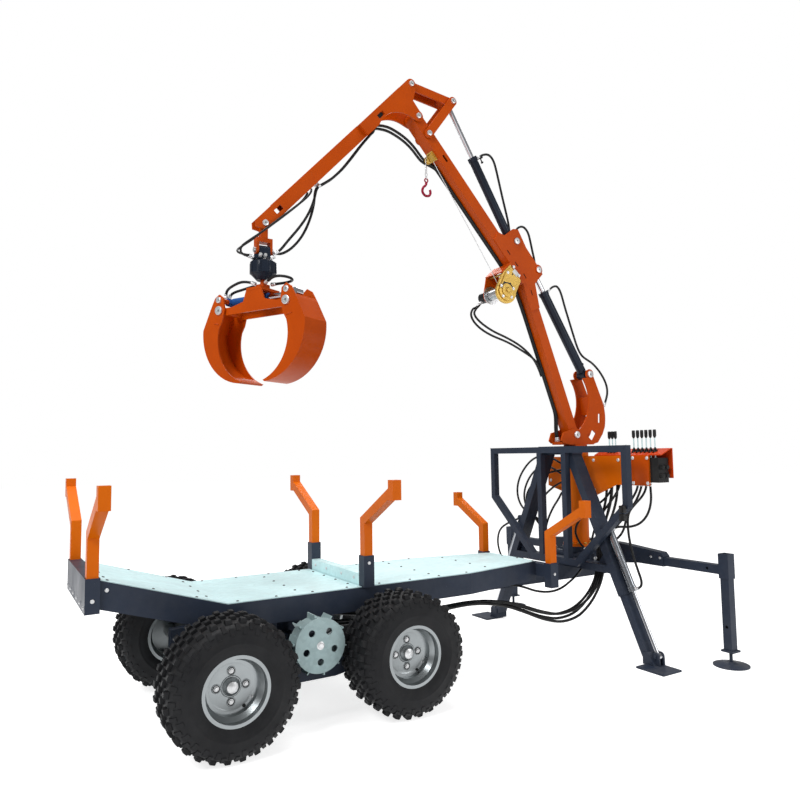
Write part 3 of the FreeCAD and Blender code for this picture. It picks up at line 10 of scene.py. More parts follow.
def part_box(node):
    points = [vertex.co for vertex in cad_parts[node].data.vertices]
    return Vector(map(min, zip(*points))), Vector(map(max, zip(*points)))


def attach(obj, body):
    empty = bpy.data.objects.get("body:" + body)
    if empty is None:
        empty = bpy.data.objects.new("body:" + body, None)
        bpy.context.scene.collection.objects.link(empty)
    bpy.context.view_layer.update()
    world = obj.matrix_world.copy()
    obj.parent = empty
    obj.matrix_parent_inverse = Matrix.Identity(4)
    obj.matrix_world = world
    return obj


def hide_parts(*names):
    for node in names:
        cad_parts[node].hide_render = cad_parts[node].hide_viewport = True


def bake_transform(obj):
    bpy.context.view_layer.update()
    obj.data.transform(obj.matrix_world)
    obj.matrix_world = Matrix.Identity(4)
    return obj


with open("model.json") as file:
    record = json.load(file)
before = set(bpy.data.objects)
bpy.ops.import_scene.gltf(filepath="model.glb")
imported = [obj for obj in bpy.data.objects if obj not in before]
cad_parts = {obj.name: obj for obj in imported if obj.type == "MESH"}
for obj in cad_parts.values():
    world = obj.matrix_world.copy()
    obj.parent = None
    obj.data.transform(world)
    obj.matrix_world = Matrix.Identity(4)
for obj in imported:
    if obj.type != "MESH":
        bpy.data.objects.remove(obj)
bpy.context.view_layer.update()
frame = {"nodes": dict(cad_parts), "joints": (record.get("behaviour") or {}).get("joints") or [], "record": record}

bl_info = {
    "name": "Forestry trailer with crane",
    "version": (1, 0, 0),
    "blender": (4, 5, 0),
    "location": "3D View > Sidebar > Trailer",
    "description": "Finishes, tyre treads, fasteners, hoses and the winch rope of a timber trailer",
    "category": "Object",
}

MM = 0.001
HINGES = {joint["name"]: Vector(joint["pos_m"]) for joint in frame["joints"] if "pos_m" in joint}
WHEELS = ("front_right", "front_left", "rear_right", "rear_left")
DISH_FACE = 30  # millimetres from a wheel's middle out to the face of its dish
SMOOTH_BELOW = 38  # degrees between two faces that still shade as one
BACK = (-1, 0, 0)


# ---------------------------------------------------------------- settings

def colour_property(title, words, value):
    return bpy.props.FloatVectorProperty(name=title, description=words, subtype="COLOR", size=4,
                                         min=0.0, max=1.0, default=(*value, 1.0))


def length_property(title, words, value, low, high):
    return bpy.props.FloatProperty(name=title, description=words, default=value, min=low, max=high,
                                   unit="LENGTH", subtype="DISTANCE", precision=4)


class FinishSettings(bpy.types.PropertyGroup):
    crane: colour_property("Crane paint", "Orange gloss of the crane and grapple", (0.56, 0.074, 0.0005))
    bright: colour_property("Bright crane paint", "Lighter orange of the stakes, mast and console",
                            (0.76, 0.150, 0.001))
    chassis: colour_property("Chassis paint", "Slate grey of the trailer frame", (0.033, 0.044, 0.070))
    deck: colour_property("Galvanised sheet", "Pale zinc of the deck and rollers", (0.70, 0.94, 0.96))
    rim: colour_property("Rim paint", "Silver paint of the wheels", (0.31, 0.335, 0.345))
    rubber: colour_property("Rubber", "Tyre rubber", (0.006, 0.0065, 0.008))
    gold: colour_property("Yellow zinc", "Yellow passivated winch case", (0.62, 0.40, 0.09))
    ram: colour_property("Ram paint", "Dark paint of the rams and the rotator", (0.012, 0.017, 0.028))
    blue: colour_property("Grapple ram paint", "Blue paint of the grapple's ram", (0.02, 0.09, 0.32))
    cover: colour_property("Cover paint", "Red orange of the lever cover and the hook", (0.66, 0.055, 0.004))
    hose: colour_property("Hose rubber", "Black hose cover", (0.006, 0.006, 0.007))


class TyreSettings(bpy.types.PropertyGroup):
    lugs: bpy.props.IntProperty(name="Lugs round the tyre", description="Lugs in one row of the tread",
                                default=28, min=20, max=60)
    lug_height: length_property("Lug height", "How far a lug stands above the carcass", 0.015, 0.004, 0.02)
    lug_width: length_property("Lug width", "Width of a lug across the tread", 0.031, 0.01, 0.06)
    lug_length: length_property("Lug length", "Length of a lug round the tyre", 0.028, 0.01, 0.06)


class FastenerSettings(bpy.types.PropertyGroup):
    bolt: length_property("Bolt size", "Width across the corners of a large bolt head", 0.026, 0.01, 0.05)
    rivet: length_property("Deck rivet", "Diameter of a deck rivet's head", 0.013, 0.005, 0.03)
    bead: length_property("Weld bead", "Width of a weld bead", 0.007, 0.003, 0.02)


class HoseSettings(bpy.types.PropertyGroup):
    main: length_property("Main hose", "Diameter of the hoses to the rams", 0.016, 0.008, 0.03)
    thin: length_property("Thin hose", "Diameter of the hoses to the rotator and grapple", 0.014, 0.006, 0.03)
    rope: length_property("Winch rope", "Diameter of the winch's steel rope", 0.005, 0.003, 0.012)


def settings_group(kind, title, words):
    return bpy.props.PointerProperty(type=kind, name=title, description=words)


class TrailerSettings(bpy.types.PropertyGroup):
    finishes: settings_group(FinishSettings, "Finishes", "Colours of the finishes")
    tyres: settings_group(TyreSettings, "Tyres", "Sizes of the tread")
    fasteners: settings_group(FastenerSettings, "Fasteners", "Sizes of small parts")
    hoses: settings_group(HoseSettings, "Hoses", "Sizes of hoses and rope")


# ---------------------------------------------------------------- shader nodes

def add(tree, kind, values=None, **settings):
    """A node with its settings; each value is a number, a colour or the socket that feeds it."""
    node = tree.nodes.new(kind)
    for key, value in settings.items():
        setattr(node, key, value)
    for key, value in (values or {}).items():
        if isinstance(value, bpy.types.NodeSocket):
            tree.links.new(value, node.inputs[key])
        else:
            node.inputs[key].default_value = value
    return node


def placed(tree, name, **values):
    """One of the shared effects, placed in a material."""
    return add(tree, "ShaderNodeGroup", values, node_tree=bpy.data.node_groups[name]).outputs


def noise(tree, where, scale, detail, roughness=0.5):
    return add(tree, "ShaderNodeTexNoise", {"Vector": where, "Scale": scale, "Detail": detail,
                                            "Roughness": roughness}).outputs[0]


def spread(tree, value, low, high, start=0.0, end=1.0):
    """Map a value from low..high to start..end."""
    return add(tree, "ShaderNodeMapRange", {0: value, 1: low, 2: high, 3: start, 4: end}).outputs[0]


def mixed(tree, share, first, second):
    """Mix two colours."""
    return add(tree, "ShaderNodeMix", {0: share, 6: first, 7: second}, data_type="RGBA").outputs[2]


def times(tree, first, second, operation="MULTIPLY"):
    return add(tree, "ShaderNodeMath", {0: first, 1: second}, operation=operation).outputs[0]


def effect(name, colours, numbers, results):
    """An empty node group: a Vector, colours and numbers go in, colours, masks and values come out."""
    group = bpy.data.node_groups.new(name, "ShaderNodeTree")
    rows = [("Vector", "Vector", None)]
    rows += [(title, "Color", value) for title, value in colours.items()]
    rows += [(title, "Float", value) for title, value in numbers.items()]
    for title, kind, value in rows:
        socket = group.interface.new_socket(name=title, in_out="INPUT", socket_type="NodeSocket" + kind)
        if value is not None:
            socket.default_value = value
    for title in results:
        kind = "NodeSocketColor" if title == "Colour" else "NodeSocketFloat"
        group.interface.new_socket(name=title, in_out="OUTPUT", socket_type=kind)
    return group, group.nodes.new("NodeGroupInput").outputs, group.nodes.new("NodeGroupOutput").inputs


def make_effects():
    # slow change of colour, as paint, zinc and rubber have in daylight
    group, given, result = effect("Colour drift", {"Colour": None, "Shade": None},
                                  {"Scale": 3.0, "Amount": 0.5}, ["Colour"])
    cloud = noise(group, given["Vector"], given["Scale"], 6.0, 0.6)
    share = times(group, spread(group, cloud, 0.38, 0.66), given["Amount"])
    group.links.new(mixed(group, share, given["Colour"], given["Shade"]), result["Colour"])

    # road dust, thickest on faces that look up and low on the trailer
    group, given, result = effect("Dust film", {"Colour": None, "Dust": (0.30, 0.28, 0.25, 1)},
                                  {"Scale": 9.0, "Amount": 0.3}, ["Colour", "Mask"])
    facing = add(group, "ShaderNodeSeparateXYZ", {0: add(group, "ShaderNodeNewGeometry").outputs["Normal"]})
    upward = spread(group, facing.outputs[2], -0.2, 1.0, 0.15, 1.0)
    height = add(group, "ShaderNodeSeparateXYZ", {0: given["Vector"]}).outputs[2]
    low = spread(group, height, 0.1, 1.3, 1.0, 0.25)
    patches = spread(group, noise(group, given["Vector"], given["Scale"], 8.0, 0.65), 0.4, 0.75)
    mask = times(group, times(group, times(group, upward, low), patches), given["Amount"])
    group.links.new(mixed(group, mask, given["Colour"], given["Dust"]), result["Colour"])
    group.links.new(mask, result["Mask"])

    # small chips and rubbed spots
    group, given, result = effect("Chips", {}, {"Scale": 40.0, "Amount": 0.3}, ["Mask"])
    spots = spread(group, noise(group, given["Vector"], given["Scale"], 10.0, 0.72), 0.66, 0.70)
    areas = spread(group, noise(group, given["Vector"], 4.0, 2.0), 0.5, 0.62)
    group.links.new(times(group, times(group, spots, areas), given["Amount"]), result["Mask"])

    # fine grain for gloss and bump
    group, given, result = effect("Fine grain", {}, {"Scale": 200.0, "Low": 0.3, "High": 0.5},
                                  ["Roughness", "Height"])
    broad = noise(group, given["Vector"], 6.0, 5.0)
    group.links.new(spread(group, broad, 0.3, 0.7, given["Low"], given["High"]), result["Roughness"])
    group.links.new(noise(group, given["Vector"], given["Scale"], 4.0), result["Height"])


def start_material(name, **sockets):
    """A material with its shader, tree and Object coordinates."""
    material = bpy.data.materials.new(name)
    material.use_nodes = True
    tree = material.node_tree
    shader = tree.nodes["Principled BSDF"]
    for key, value in sockets.items():
        shader.inputs[key.replace("_", " ")].default_value = value
    where = add(tree, "ShaderNodeTexCoord").outputs["Object"]
    return tree, shader.inputs, where


def surface(tree, shader, base, roughness, height, strength, distance):
    """Give a shader its colour, its gloss and a fine bump."""
    tree.links.new(base, shader["Base Color"])
    tree.links.new(roughness, shader["Roughness"])
    relief = add(tree, "ShaderNodeBump", {"Strength": strength, "Distance": distance, "Height": height})
    tree.links.new(relief.outputs[0], shader["Normal"])


def darker(colour, share):
    return (*[channel * share for channel in colour[:3]], 1.0)


def make_paint(name, colour, shade, chip, gloss, dust, bump=0.05, coat=0.04, metal=0.0):
    """Sprayed paint: colour drift, a few chips, road dust, and an orange-peel surface."""
    tree, shader, where = start_material(name, Coat_Weight=coat, Coat_Roughness=0.15, Specular_IOR_Level=0.12,
                                         Metallic=metal)
    drift = placed(tree, "Colour drift", Vector=where, Colour=colour, Shade=shade, Scale=3.2, Amount=0.7)
    chips = placed(tree, "Chips", Vector=where, Scale=55.0, Amount=0.8)
    film = placed(tree, "Dust film", Vector=where, Colour=mixed(tree, chips["Mask"], drift["Colour"], chip),
                  Scale=11.0, Amount=dust)
    grain = placed(tree, "Fine grain", Vector=where, Scale=170.0, Low=gloss[0], High=gloss[1])
    dull = times(tree, grain["Roughness"], times(tree, film["Mask"], 0.5), "ADD")
    surface(tree, shader, film["Colour"], dull, grain["Height"], bump, 0.001)


def make_zinc(name, colour, metal, scale, amount, gloss, dust):
    """Hot-dipped or plated zinc with its crystal pattern."""
    tree, shader, where = start_material(name, Metallic=metal)
    crystal = add(tree, "ShaderNodeTexVoronoi", {"Vector": where, "Scale": scale, "Randomness": 1.0})
    shades = add(tree, "ShaderNodeSeparateColor", {0: crystal.outputs["Color"]}).outputs[0]
    flecked = mixed(tree, times(tree, shades, amount), colour, darker(colour, 0.62))
    drift = placed(tree, "Colour drift", Vector=where, Colour=flecked, Shade=darker(colour, 0.75), Scale=5.0,
                   Amount=0.45)
    film = placed(tree, "Dust film", Vector=where, Colour=drift["Colour"], Scale=16.0, Amount=dust)
    grain = placed(tree, "Fine grain", Vector=where, Scale=260.0, Low=gloss[0], High=gloss[1])
    uneven = times(tree, grain["Roughness"], times(tree, shades, 0.12), "ADD")
    surface(tree, shader, film["Colour"], uneven, grain["Height"], 0.06, 0.0006)


def make_polished(name, colour, gloss, stretch):
    """Ground or polished steel with fine drawn lines."""
    tree, shader, where = start_material(name, Metallic=1.0)
    drawn = add(tree, "ShaderNodeMapping", {"Vector": where, "Scale": stretch}).outputs[0]
    lines = noise(tree, drawn, 60.0, 6.0)
    drift = placed(tree, "Colour drift", Vector=where, Colour=colour, Shade=darker(colour, 0.7), Scale=14.0,
                   Amount=0.5)
    surface(tree, shader, drift["Colour"], spread(tree, lines, 0.3, 0.7, *gloss), lines, 0.04, 0.0004)


def make_rubber(name, colour, pale, gloss, dust, pattern):
    """Rubber and plastic: matt, with a pale bloom and dried mud."""
    tree, shader, where = start_material(name, Specular_IOR_Level=0.25)
    drift = placed(tree, "Colour drift", Vector=where, Colour=colour, Shade=pale, Scale=pattern, Amount=0.6)
    film = placed(tree, "Dust film", Vector=where, Colour=drift["Colour"], Dust=(0.20, 0.18, 0.15, 1),
                  Scale=22.0, Amount=dust)
    grain = placed(tree, "Fine grain", Vector=where, Scale=320.0, Low=gloss[0], High=gloss[1])
    surface(tree, shader, film["Colour"], grain["Roughness"], grain["Height"], 0.25, 0.0008)


SLOT_FINISH = {"frame_paint": "Slate paint", "crane_paint": "Orange paint", "zinc": "Galvanised",
               "rim_silver": "Silver rim", "tyre": "Tyre rubber", "ram_paint": "Dark ram paint",
               "chrome": "Chrome", "valve_black": "Black casting", "blue_paint": "Blue ram paint",
               "gold_zinc": "Yellow zinc", "hose": "Hose rubber", "steel": "Bright steel"}
FINISH_SLOT = {**{finish: slot for slot, finish in SLOT_FINISH.items()}, "Zinc fastener": "zinc",
               "White plate": "zinc", "Black plastic and painted shade": "valve_black", "Hook paint": "crane_paint"}
NODE_FINISH = {"console_cover": "Cover paint", "stakes": "Bright orange paint",
               "crane_mast": "Bright orange paint", "console_panels": "Bright orange paint",
               "outrigger_rams": "Ground steel", "left_drive_roller": "Zinc roller",
               "right_drive_roller": "Zinc roller", "middle_bunk": "Slate paint"}


class TRAILER_OT_finishes(bpy.types.Operator):
    """Make the finishes and give them to the frame's parts"""
    bl_idname = "trailer.finishes"
    bl_label = "Finishes"

    def execute(self, context):
        tone = context.scene.trailer.finishes
        make_effects()
        make_paint("Orange paint", tone.crane, (0.45, 0.054, 0.0005, 1), (0.30, 0.14, 0.06, 1),
                   (0.28, 0.44), 0.06)
        make_paint("Bright orange paint", tone.bright, (0.66, 0.115, 0.001, 1), (0.4, 0.2, 0.1, 1),
                   (0.28, 0.44), 0.06)
        make_paint("Slate paint", tone.chassis, darker(tone.chassis, 0.7), (0.16, 0.18, 0.21, 1),
                   (0.3, 0.46), 0.22)
        make_paint("Silver rim", tone.rim, darker(tone.rim, 0.8), (0.2, 0.2, 0.2, 1), (0.25, 0.4), 0.12,
                   0.03, 0.15, 0.85)
        make_paint("Dark ram paint", tone.ram, darker(tone.ram, 1.8), (0.2, 0.2, 0.21, 1), (0.2, 0.34), 0.12)
        make_paint("Blue ram paint", tone.blue, darker(tone.blue, 0.6), (0.3, 0.3, 0.3, 1), (0.22, 0.36), 0.2)
        make_paint("Cover paint", tone.cover, darker(tone.cover, 0.75), (0.3, 0.2, 0.15, 1),
                   (0.28, 0.42), 0.15)
        make_paint("Black casting", (0.014, 0.014, 0.015, 1), (0.03, 0.03, 0.031, 1), (0.2, 0.2, 0.2, 1),
                   (0.3, 0.48), 0.2, 0.12, 0.1)
        make_zinc("Galvanised", tone.deck, 0.12, 55.0, 0.22, (0.34, 0.5), 0.18)
        make_zinc("Zinc roller", darker(tone.deck, 0.5), 0.4, 70.0, 0.3, (0.34, 0.5), 0.3)
        make_zinc("Yellow zinc", tone.gold, 0.75, 120.0, 0.35, (0.24, 0.4), 0.1)
        make_zinc("Zinc fastener", (0.74, 0.75, 0.76, 1), 0.7, 180.0, 0.2, (0.22, 0.36), 0.05)
        make_polished("Chrome", (0.55, 0.56, 0.59, 1), (0.06, 0.16), (1.0, 1.0, 12.0))
        make_polished("Ground steel", (0.36, 0.38, 0.41, 1), (0.12, 0.26), (2.0, 2.0, 8.0))
        make_polished("Bright steel", (0.56, 0.57, 0.58, 1), (0.22, 0.42), (3.0, 3.0, 3.0))
        make_rubber("Tyre rubber", tone.rubber, (0.013, 0.0135, 0.0155, 1), (0.5, 0.72), 0.05, 14.0)
        make_rubber("Hose rubber", tone.hose, (0.013, 0.013, 0.014, 1), (0.34, 0.5), 0.03, 30.0)
        # the same black is real plastic on grips and clamps, and also paints the shade in the nut recesses, pin
        # hollows, slits and winch openings
        make_rubber("Black plastic and painted shade", (0.011, 0.011, 0.012, 1), (0.02, 0.02, 0.021, 1), (0.3, 0.42), 0.08,
                    30.0)
        make_paint("Hook paint", (0.40, 0.010, 0.045, 1), (0.26, 0.008, 0.03, 1), (0.3, 0.2, 0.2, 1),
                   (0.25, 0.4), 0.1)
        for row in frame["record"]["subparts"]:
            mesh = frame["nodes"][row["node"]].data
            mesh.materials.clear()
            finish = NODE_FINISH.get(row["node"], SLOT_FINISH[row["material_slot"]])
            mesh.materials.append(bpy.data.materials[finish])
        return {"FINISHED"}


# ---------------------------------------------------------------- mesh tools

def mm(*numbers):
    return Vector(numbers) * MM


def at(x, y, z):
    """A matrix that moves a part to a point in millimetres."""
    return Matrix.Translation(mm(x, y, z))


def spun(degrees, axis="Z"):
    return Matrix.Rotation(math.radians(degrees), 4, axis)


def aim(centre, axis, turn=0.0):
    """A matrix that sets a part's base at the centre, its Z along the axis."""
    facing = Vector(axis).to_track_quat("Z", "Y").to_matrix().to_4x4()
    return Matrix.Translation(Vector(centre)) @ facing @ Matrix.Rotation(turn, 4, "Z")


def turned(profile, steps=32, closed=False):
    """A solid of revolution about Z from (radius, height) pairs in millimetres."""
    part = bmesh.new()
    points = [part.verts.new((radius * MM, 0, height * MM)) for radius, height in profile]
    lines = [part.edges.new(pair) for pair in zip(points, points[1:])]
    if closed:
        lines.append(part.edges.new((points[-1], points[0])))
    bmesh.ops.spin(part, geom=points + lines, cent=(0, 0, 0), axis=(0, 0, 1), dvec=(0, 0, 0),
                   angle=2 * math.pi, steps=steps, use_merge=True, use_duplicate=False)
    return part


def ring(radius, thick, steps):
    """A round ring about Z, its wire of eight sides."""
    wire = [(radius + thick * math.cos(math.radians(45 * step)), thick * math.sin(math.radians(45 * step)))
            for step in range(8)]
    return turned(wire, steps, closed=True)


def rounded(part, size, segments=2):
    """Bevel every edge of a part."""
    bmesh.ops.bevel(part, geom=part.edges[:], offset=size * MM, offset_type="OFFSET", segments=segments,
                    profile=0.5, affect="EDGES", material=-1)
    return part


def block(width, depth, height, bevel):
    """A block with soft edges, its base on Z = 0."""
    part = bmesh.new()
    bmesh.ops.create_cube(part, size=1.0)
    bmesh.ops.scale(part, vec=(width * MM, depth * MM, height * MM), verts=part.verts)
    bmesh.ops.translate(part, vec=(0, 0, height * MM / 2), verts=part.verts)
    return rounded(part, bevel)


def sheet(outline, thick, bevel):
    """A plate of the given outline in XY, extruded up Z."""
    part = bmesh.new()
    face = part.faces.new([part.verts.new((x * MM, y * MM, 0)) for x, y in outline])
    grown = bmesh.ops.extrude_face_region(part, geom=[face])
    top = [item for item in grown["geom"] if isinstance(item, bmesh.types.BMVert)]
    bmesh.ops.translate(part, vec=(0, 0, thick * MM), verts=top)
    bmesh.ops.recalc_face_normals(part, faces=part.faces)
    return rounded(part, bevel) if bevel else part


def stamp(whole, part, places):
    """Add a part to a mesh at each place, and let the part go."""
    bmesh.ops.remove_doubles(part, verts=part.verts, dist=1e-6)
    bmesh.ops.recalc_face_normals(part, faces=part.faces)
    mesh = bpy.data.meshes.new("stamp")
    part.to_mesh(mesh)
    for place in places:
        known = len(whole.verts)
        whole.from_mesh(mesh)
        whole.verts.ensure_lookup_table()
        bmesh.ops.transform(whole, matrix=place, verts=whole.verts[known:])
    bpy.data.meshes.remove(mesh)
    part.free()
    return whole


def settle(name, mesh, finish, slot=None):
    """An object for a finished mesh, smooth but for its sharp edges."""
    slot = slot or FINISH_SLOT[finish]
    if len(mesh.polygons) == 0:
        raise RuntimeError(name + " came out empty")
    mesh.name = name
    mesh.polygons.foreach_set("use_smooth", [True] * len(mesh.polygons))
    mesh.set_sharp_from_angle(angle=math.radians(SMOOTH_BELOW))
    mesh.materials.clear()
    mesh.materials.append(bpy.data.materials[finish])
    made = bpy.data.objects.new(name, mesh)
    bpy.context.collection.objects.link(made)
    return made


def piece(name, whole, body, finish, slot=None):
    """Turn a finished bmesh into a piece that rides on a body."""
    mesh = bpy.data.meshes.new(name)
    whole.to_mesh(mesh)
    whole.free()
    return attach(settle(name, mesh, finish, slot), body)


def build(name, body, finish, *stamps, slot=None):
    """A piece made of stamps, each a part and its places."""
    whole = bmesh.new()
    for part, places in stamps:
        stamp(whole, part, places)
    return piece(name, whole, body, finish, slot)


def line_mesh(name, points, radius):
    """The mesh of a curve through given control points in millimetres; with no radius, its line."""
    curve = bpy.data.curves.new(name + "_line", "CURVE")
    curve.dimensions = "3D"
    spline = curve.splines.new("NURBS")
    spline.points.add(len(points) - 1)
    for point, place in zip(spline.points, points):
        point.co = (*mm(*place), 1.0)
    spline.order_u = 3
    spline.use_endpoint_u = True
    spline.resolution_u = 10
    curve.bevel_depth = radius
    curve.bevel_resolution = 4
    curve.use_fill_caps = True
    made = bpy.data.objects.new(name + "_line", curve)
    bpy.context.collection.objects.link(made)
    bpy.context.view_layer.update()
    mesh = bpy.data.meshes.new_from_object(made)
    bpy.data.objects.remove(made)
    bpy.data.curves.remove(curve)
    return mesh


def nut_parts(across):
    """A washer and a hexagon head with its chamfer, for a bolt of that width in metres."""
    size = across / MM
    washer = turned([(0, 0), (size * 0.68, 0), (size * 0.68, 1.2), (size * 0.62, 2.0), (0, 2.0)], 28)
    head = turned([(0, 1.9), (size * 0.5, 1.9), (size * 0.5, size * 0.34), (size * 0.43, size * 0.40),
                   (size * 0.2, size * 0.40), (size * 0.17, size * 0.37), (0, size * 0.37)], 6)
    return washer, head


def bolts(name, places, across, body, finish="Zinc fastener"):
    """Bolt heads at matrices, all on one body."""
    return build(name, body, finish, *[(part, places) for part in nut_parts(across)])


def fitting_parts(radius):
    """A hexagon union and a crimped ferrule for a hose of that radius in metres, base at Z = 0."""
    size = radius / MM
    union = turned([(0, -3), (size * 1.0, -3), (size * 1.45, -2), (size * 1.55, 0), (size * 1.55, size * 1.1),
                    (size * 1.4, size * 1.3), (0, size * 1.3)], 6)
    ferrule = turned([(0, size), (size * 1.12, size), (size * 1.28, size * 1.4), (size * 1.28, size * 2.1),
                      (size * 1.18, size * 2.2), (size * 1.28, size * 2.3), (size * 1.28, size * 3.2),
                      (size * 1.12, size * 3.5), (0, size * 3.5)], 20)
    return union, ferrule


def bead(whole, points, width):
    """A weld bead along straight stretches between points in millimetres: overlapping ripples."""
    radius = width / MM / 2
    ripple = turned([(0, -radius * 0.9), (radius * 0.75, -radius * 0.6), (radius, 0),
                     (radius * 0.75, radius * 0.6), (0, radius * 0.9)], 8)
    places = []
    for start, end in zip(points, points[1:]):
        start, end = mm(*start), mm(*end)
        run = end - start
        count = max(2, int(run.length / (radius * 1.1 * MM)))
        for index in range(count + 1):
            places.append(aim(start + run * index / count, run.normalized(), index * 0.7))
    stamp(whole, ripple, places)


# ---------------------------------------------------------------- wheels

def make_tread(sizes, outer, half):
    """The carcass from bead to bead, with its lugs."""
    crown = outer - sizes.lug_height / MM
    bead_radius = 128
    section = [(bead_radius + rise, inset - half) for rise, inset in
               ((0, 35), (0, 23), (10, 19), (26, 8), (44, 2.5), (52, 2), (55, 0.2), (59, 0.2), (62, 1.8))]
    section += [(crown - drop, inset - half) for drop, inset in
                ((46, 2), (30, 6), (17, 14), (8, 26), (3, 46), (0, 86))]
    section.append((crown, 0))
    full = section + [(radius, -place) for radius, place in reversed(section[:-1])]
    whole = bmesh.new()
    stamp(whole, turned(full + [(bead_radius + 6, 0)], 96, closed=True), [Matrix.Identity(4)])
    add_lugs(whole, sizes, crown, half)
    return whole


def lug_part(size, taper):
    """A block on its centre, narrower at its top, and its top's corners."""
    part = bmesh.new()
    bmesh.ops.create_cube(part, size=1.0)
    bmesh.ops.scale(part, vec=size, verts=part.verts)
    top = [vertex for vertex in part.verts if vertex.co.z > 0]
    bmesh.ops.scale(part, vec=(taper, 0.84, 1.0), verts=top)
    return part, top


def add_lugs(whole, sizes, crown, half):
    """Rows of blocks across the crown, and sloping ones down each shoulder."""
    count = sizes.lugs
    tall = sizes.lug_height / MM
    wide = sizes.lug_width / MM
    sunk_foot, top_bevel, lean = 4, 0.0022, 0.055
    rows = [(-80, 0.5, 2.0, wide), (-40, 0.0, 0.4, wide * 0.8), (0, 0.5, 0.0, wide * 0.8),
            (40, 0.0, -0.4, wide * 0.8), (80, 0.5, -2.0, wide)]
    for across, shift, drop, width in rows:
        part, top = lug_part((sizes.lug_length, width * MM, (tall + sunk_foot) * MM), 0.80)
        bmesh.ops.bevel(part, geom=[edge for edge in part.edges if all(v in top for v in edge.verts)],
                        offset=top_bevel, offset_type="OFFSET", segments=1, profile=0.5, affect="EDGES",
                        material=-1)
        radius = crown + (tall - sunk_foot) / 2 - abs(drop)
        tilt = Matrix.Rotation(math.copysign(lean, -drop) if drop else 0.0, 4, "X")
        stamp(whole, part, [Matrix.Rotation(2 * math.pi * (index + shift) / count, 4, "Z")
                            @ at(radius, 0, across) @ spun(90, "Y") @ spun(90) @ tilt
                            for index in range(count)])
    for side in (-1, 1):
        part, _ = lug_part((sizes.lug_length * 0.9, 0.034, 0.016), 0.78)
        places = []
        for index in range(2 * count):
            sunk = 15 if index % 2 else 0
            tip = math.radians(52 + sunk)
            places.append(Matrix.Rotation(math.pi * index / count, 4, "Z")
                          @ at(crown - 17 - sunk, 0, side * (half - 21 + sunk * 0.55))
                          @ Matrix.Rotation(math.pi / 2 - side * tip, 4, "Y")
                          @ spun(90) @ Matrix.Scale(0.8, 4, (1, 0, 0)))
        stamp(whole, part, places)


def wheel_fittings():
    """Nuts on black discs that paint the shade of their recesses, the hub cap, the valve and the dish's pressed
    ridges.
    """
    nuts, ridges, recess_shade = bmesh.new(), bmesh.new(), bmesh.new()
    centre = [aim((0, 0, 0), (0, 0, 1))]
    studs = [spun(90 * index) @ at(60, 0, 0.3) for index in range(4)]
    dish = [(35, 0), (37, 3.0), (40, 3.4), (43, 0.8), (86, 0.5), (90, 2.6), (96, 4.4), (107, 5.0), (109, 5.2),
            (110, 3.5), (110, -0.3), (35, -0.3)]
    flare = [(111, 0), (113, 3), (117, 22), (124, 36), (125, 37), (124, 34), (118, 20), (114, 0)]
    for profile in (dish, flare):
        stamp(ridges, turned(profile, 64, closed=True), centre)
    stamp(nuts, turned([(0, 12), (9, 12), (12, 10.5), (21, 10), (23, 8.5), (24, 0), (0, 0)], 36),
          [at(0, 0, 14)])
    stamp(ridges, turned([(15.4, 0), (17.6, 0), (18.4, 1.6), (17, 2.6), (15.4, 2.2)], 28, closed=True), studs)
    for part in nut_parts(0.017):
        stamp(nuts, part, studs)
    # painted shade: black discs laid on the dish round each nut, and a small one further out, stand for the shade
    # in recesses
    stamp(recess_shade, turned([(0, 1.7), (14.6, 1.7), (14.6, -0.2), (0, -0.2)], 28), studs)
    stamp(recess_shade, turned([(0, 6.2), (7, 6.2), (7.5, 4), (0, 4)], 20), [spun(-58) @ at(98, 0, 0)])
    stamp(nuts, turned([(0, 16), (3, 16), (3.6, 15), (3.6, 4), (5.5, 3), (6, 0), (0, 0)], 18),
          [spun(-32) @ at(97, 0, 1)])
    return nuts, ridges, recess_shade


class TRAILER_OT_tyres(bpy.types.Operator):
    """Make the four tyres with their treads, and the fittings of the wheels"""
    bl_idname = "trailer.tyres"
    bl_label = "Tyres and wheels"

    def execute(self, context):
        sizes = context.scene.trailer.tyres
        for name in WHEELS:
            low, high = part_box(name + "_tyre")
            hub = HINGES[name + "_wheel_spin"]
            half = (high.y - low.y) / 2 / MM
            out = -1 if "right" in name else 1
            upright = Matrix.Translation(hub) @ Matrix.Rotation(-out * math.pi / 2, 4, "X")
            whole = make_tread(sizes, hub.z / MM, half)
            bmesh.ops.transform(whole, matrix=upright, verts=whole.verts)
            made = piece(name + "_tread", whole, name + "_wheel", "Tyre rubber")
            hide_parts(name + "_tyre")
            nuts, ridges, recess_shade = wheel_fittings()
            for part in (nuts, ridges, recess_shade):
                bmesh.ops.transform(part, matrix=upright @ at(0, 0, DISH_FACE), verts=part.verts)
            piece(name + "_nuts", nuts, name + "_wheel", "Zinc fastener", "steel")
            # painted shade of the recesses round the nuts, as black discs
            piece(name + "_wells", recess_shade, name + "_wheel", "Black plastic and painted shade")
            piece(name + "_dish", ridges, name + "_wheel", "Silver rim")
        return {"FINISHED"}


# ---------------------------------------------------------------- bed and frame

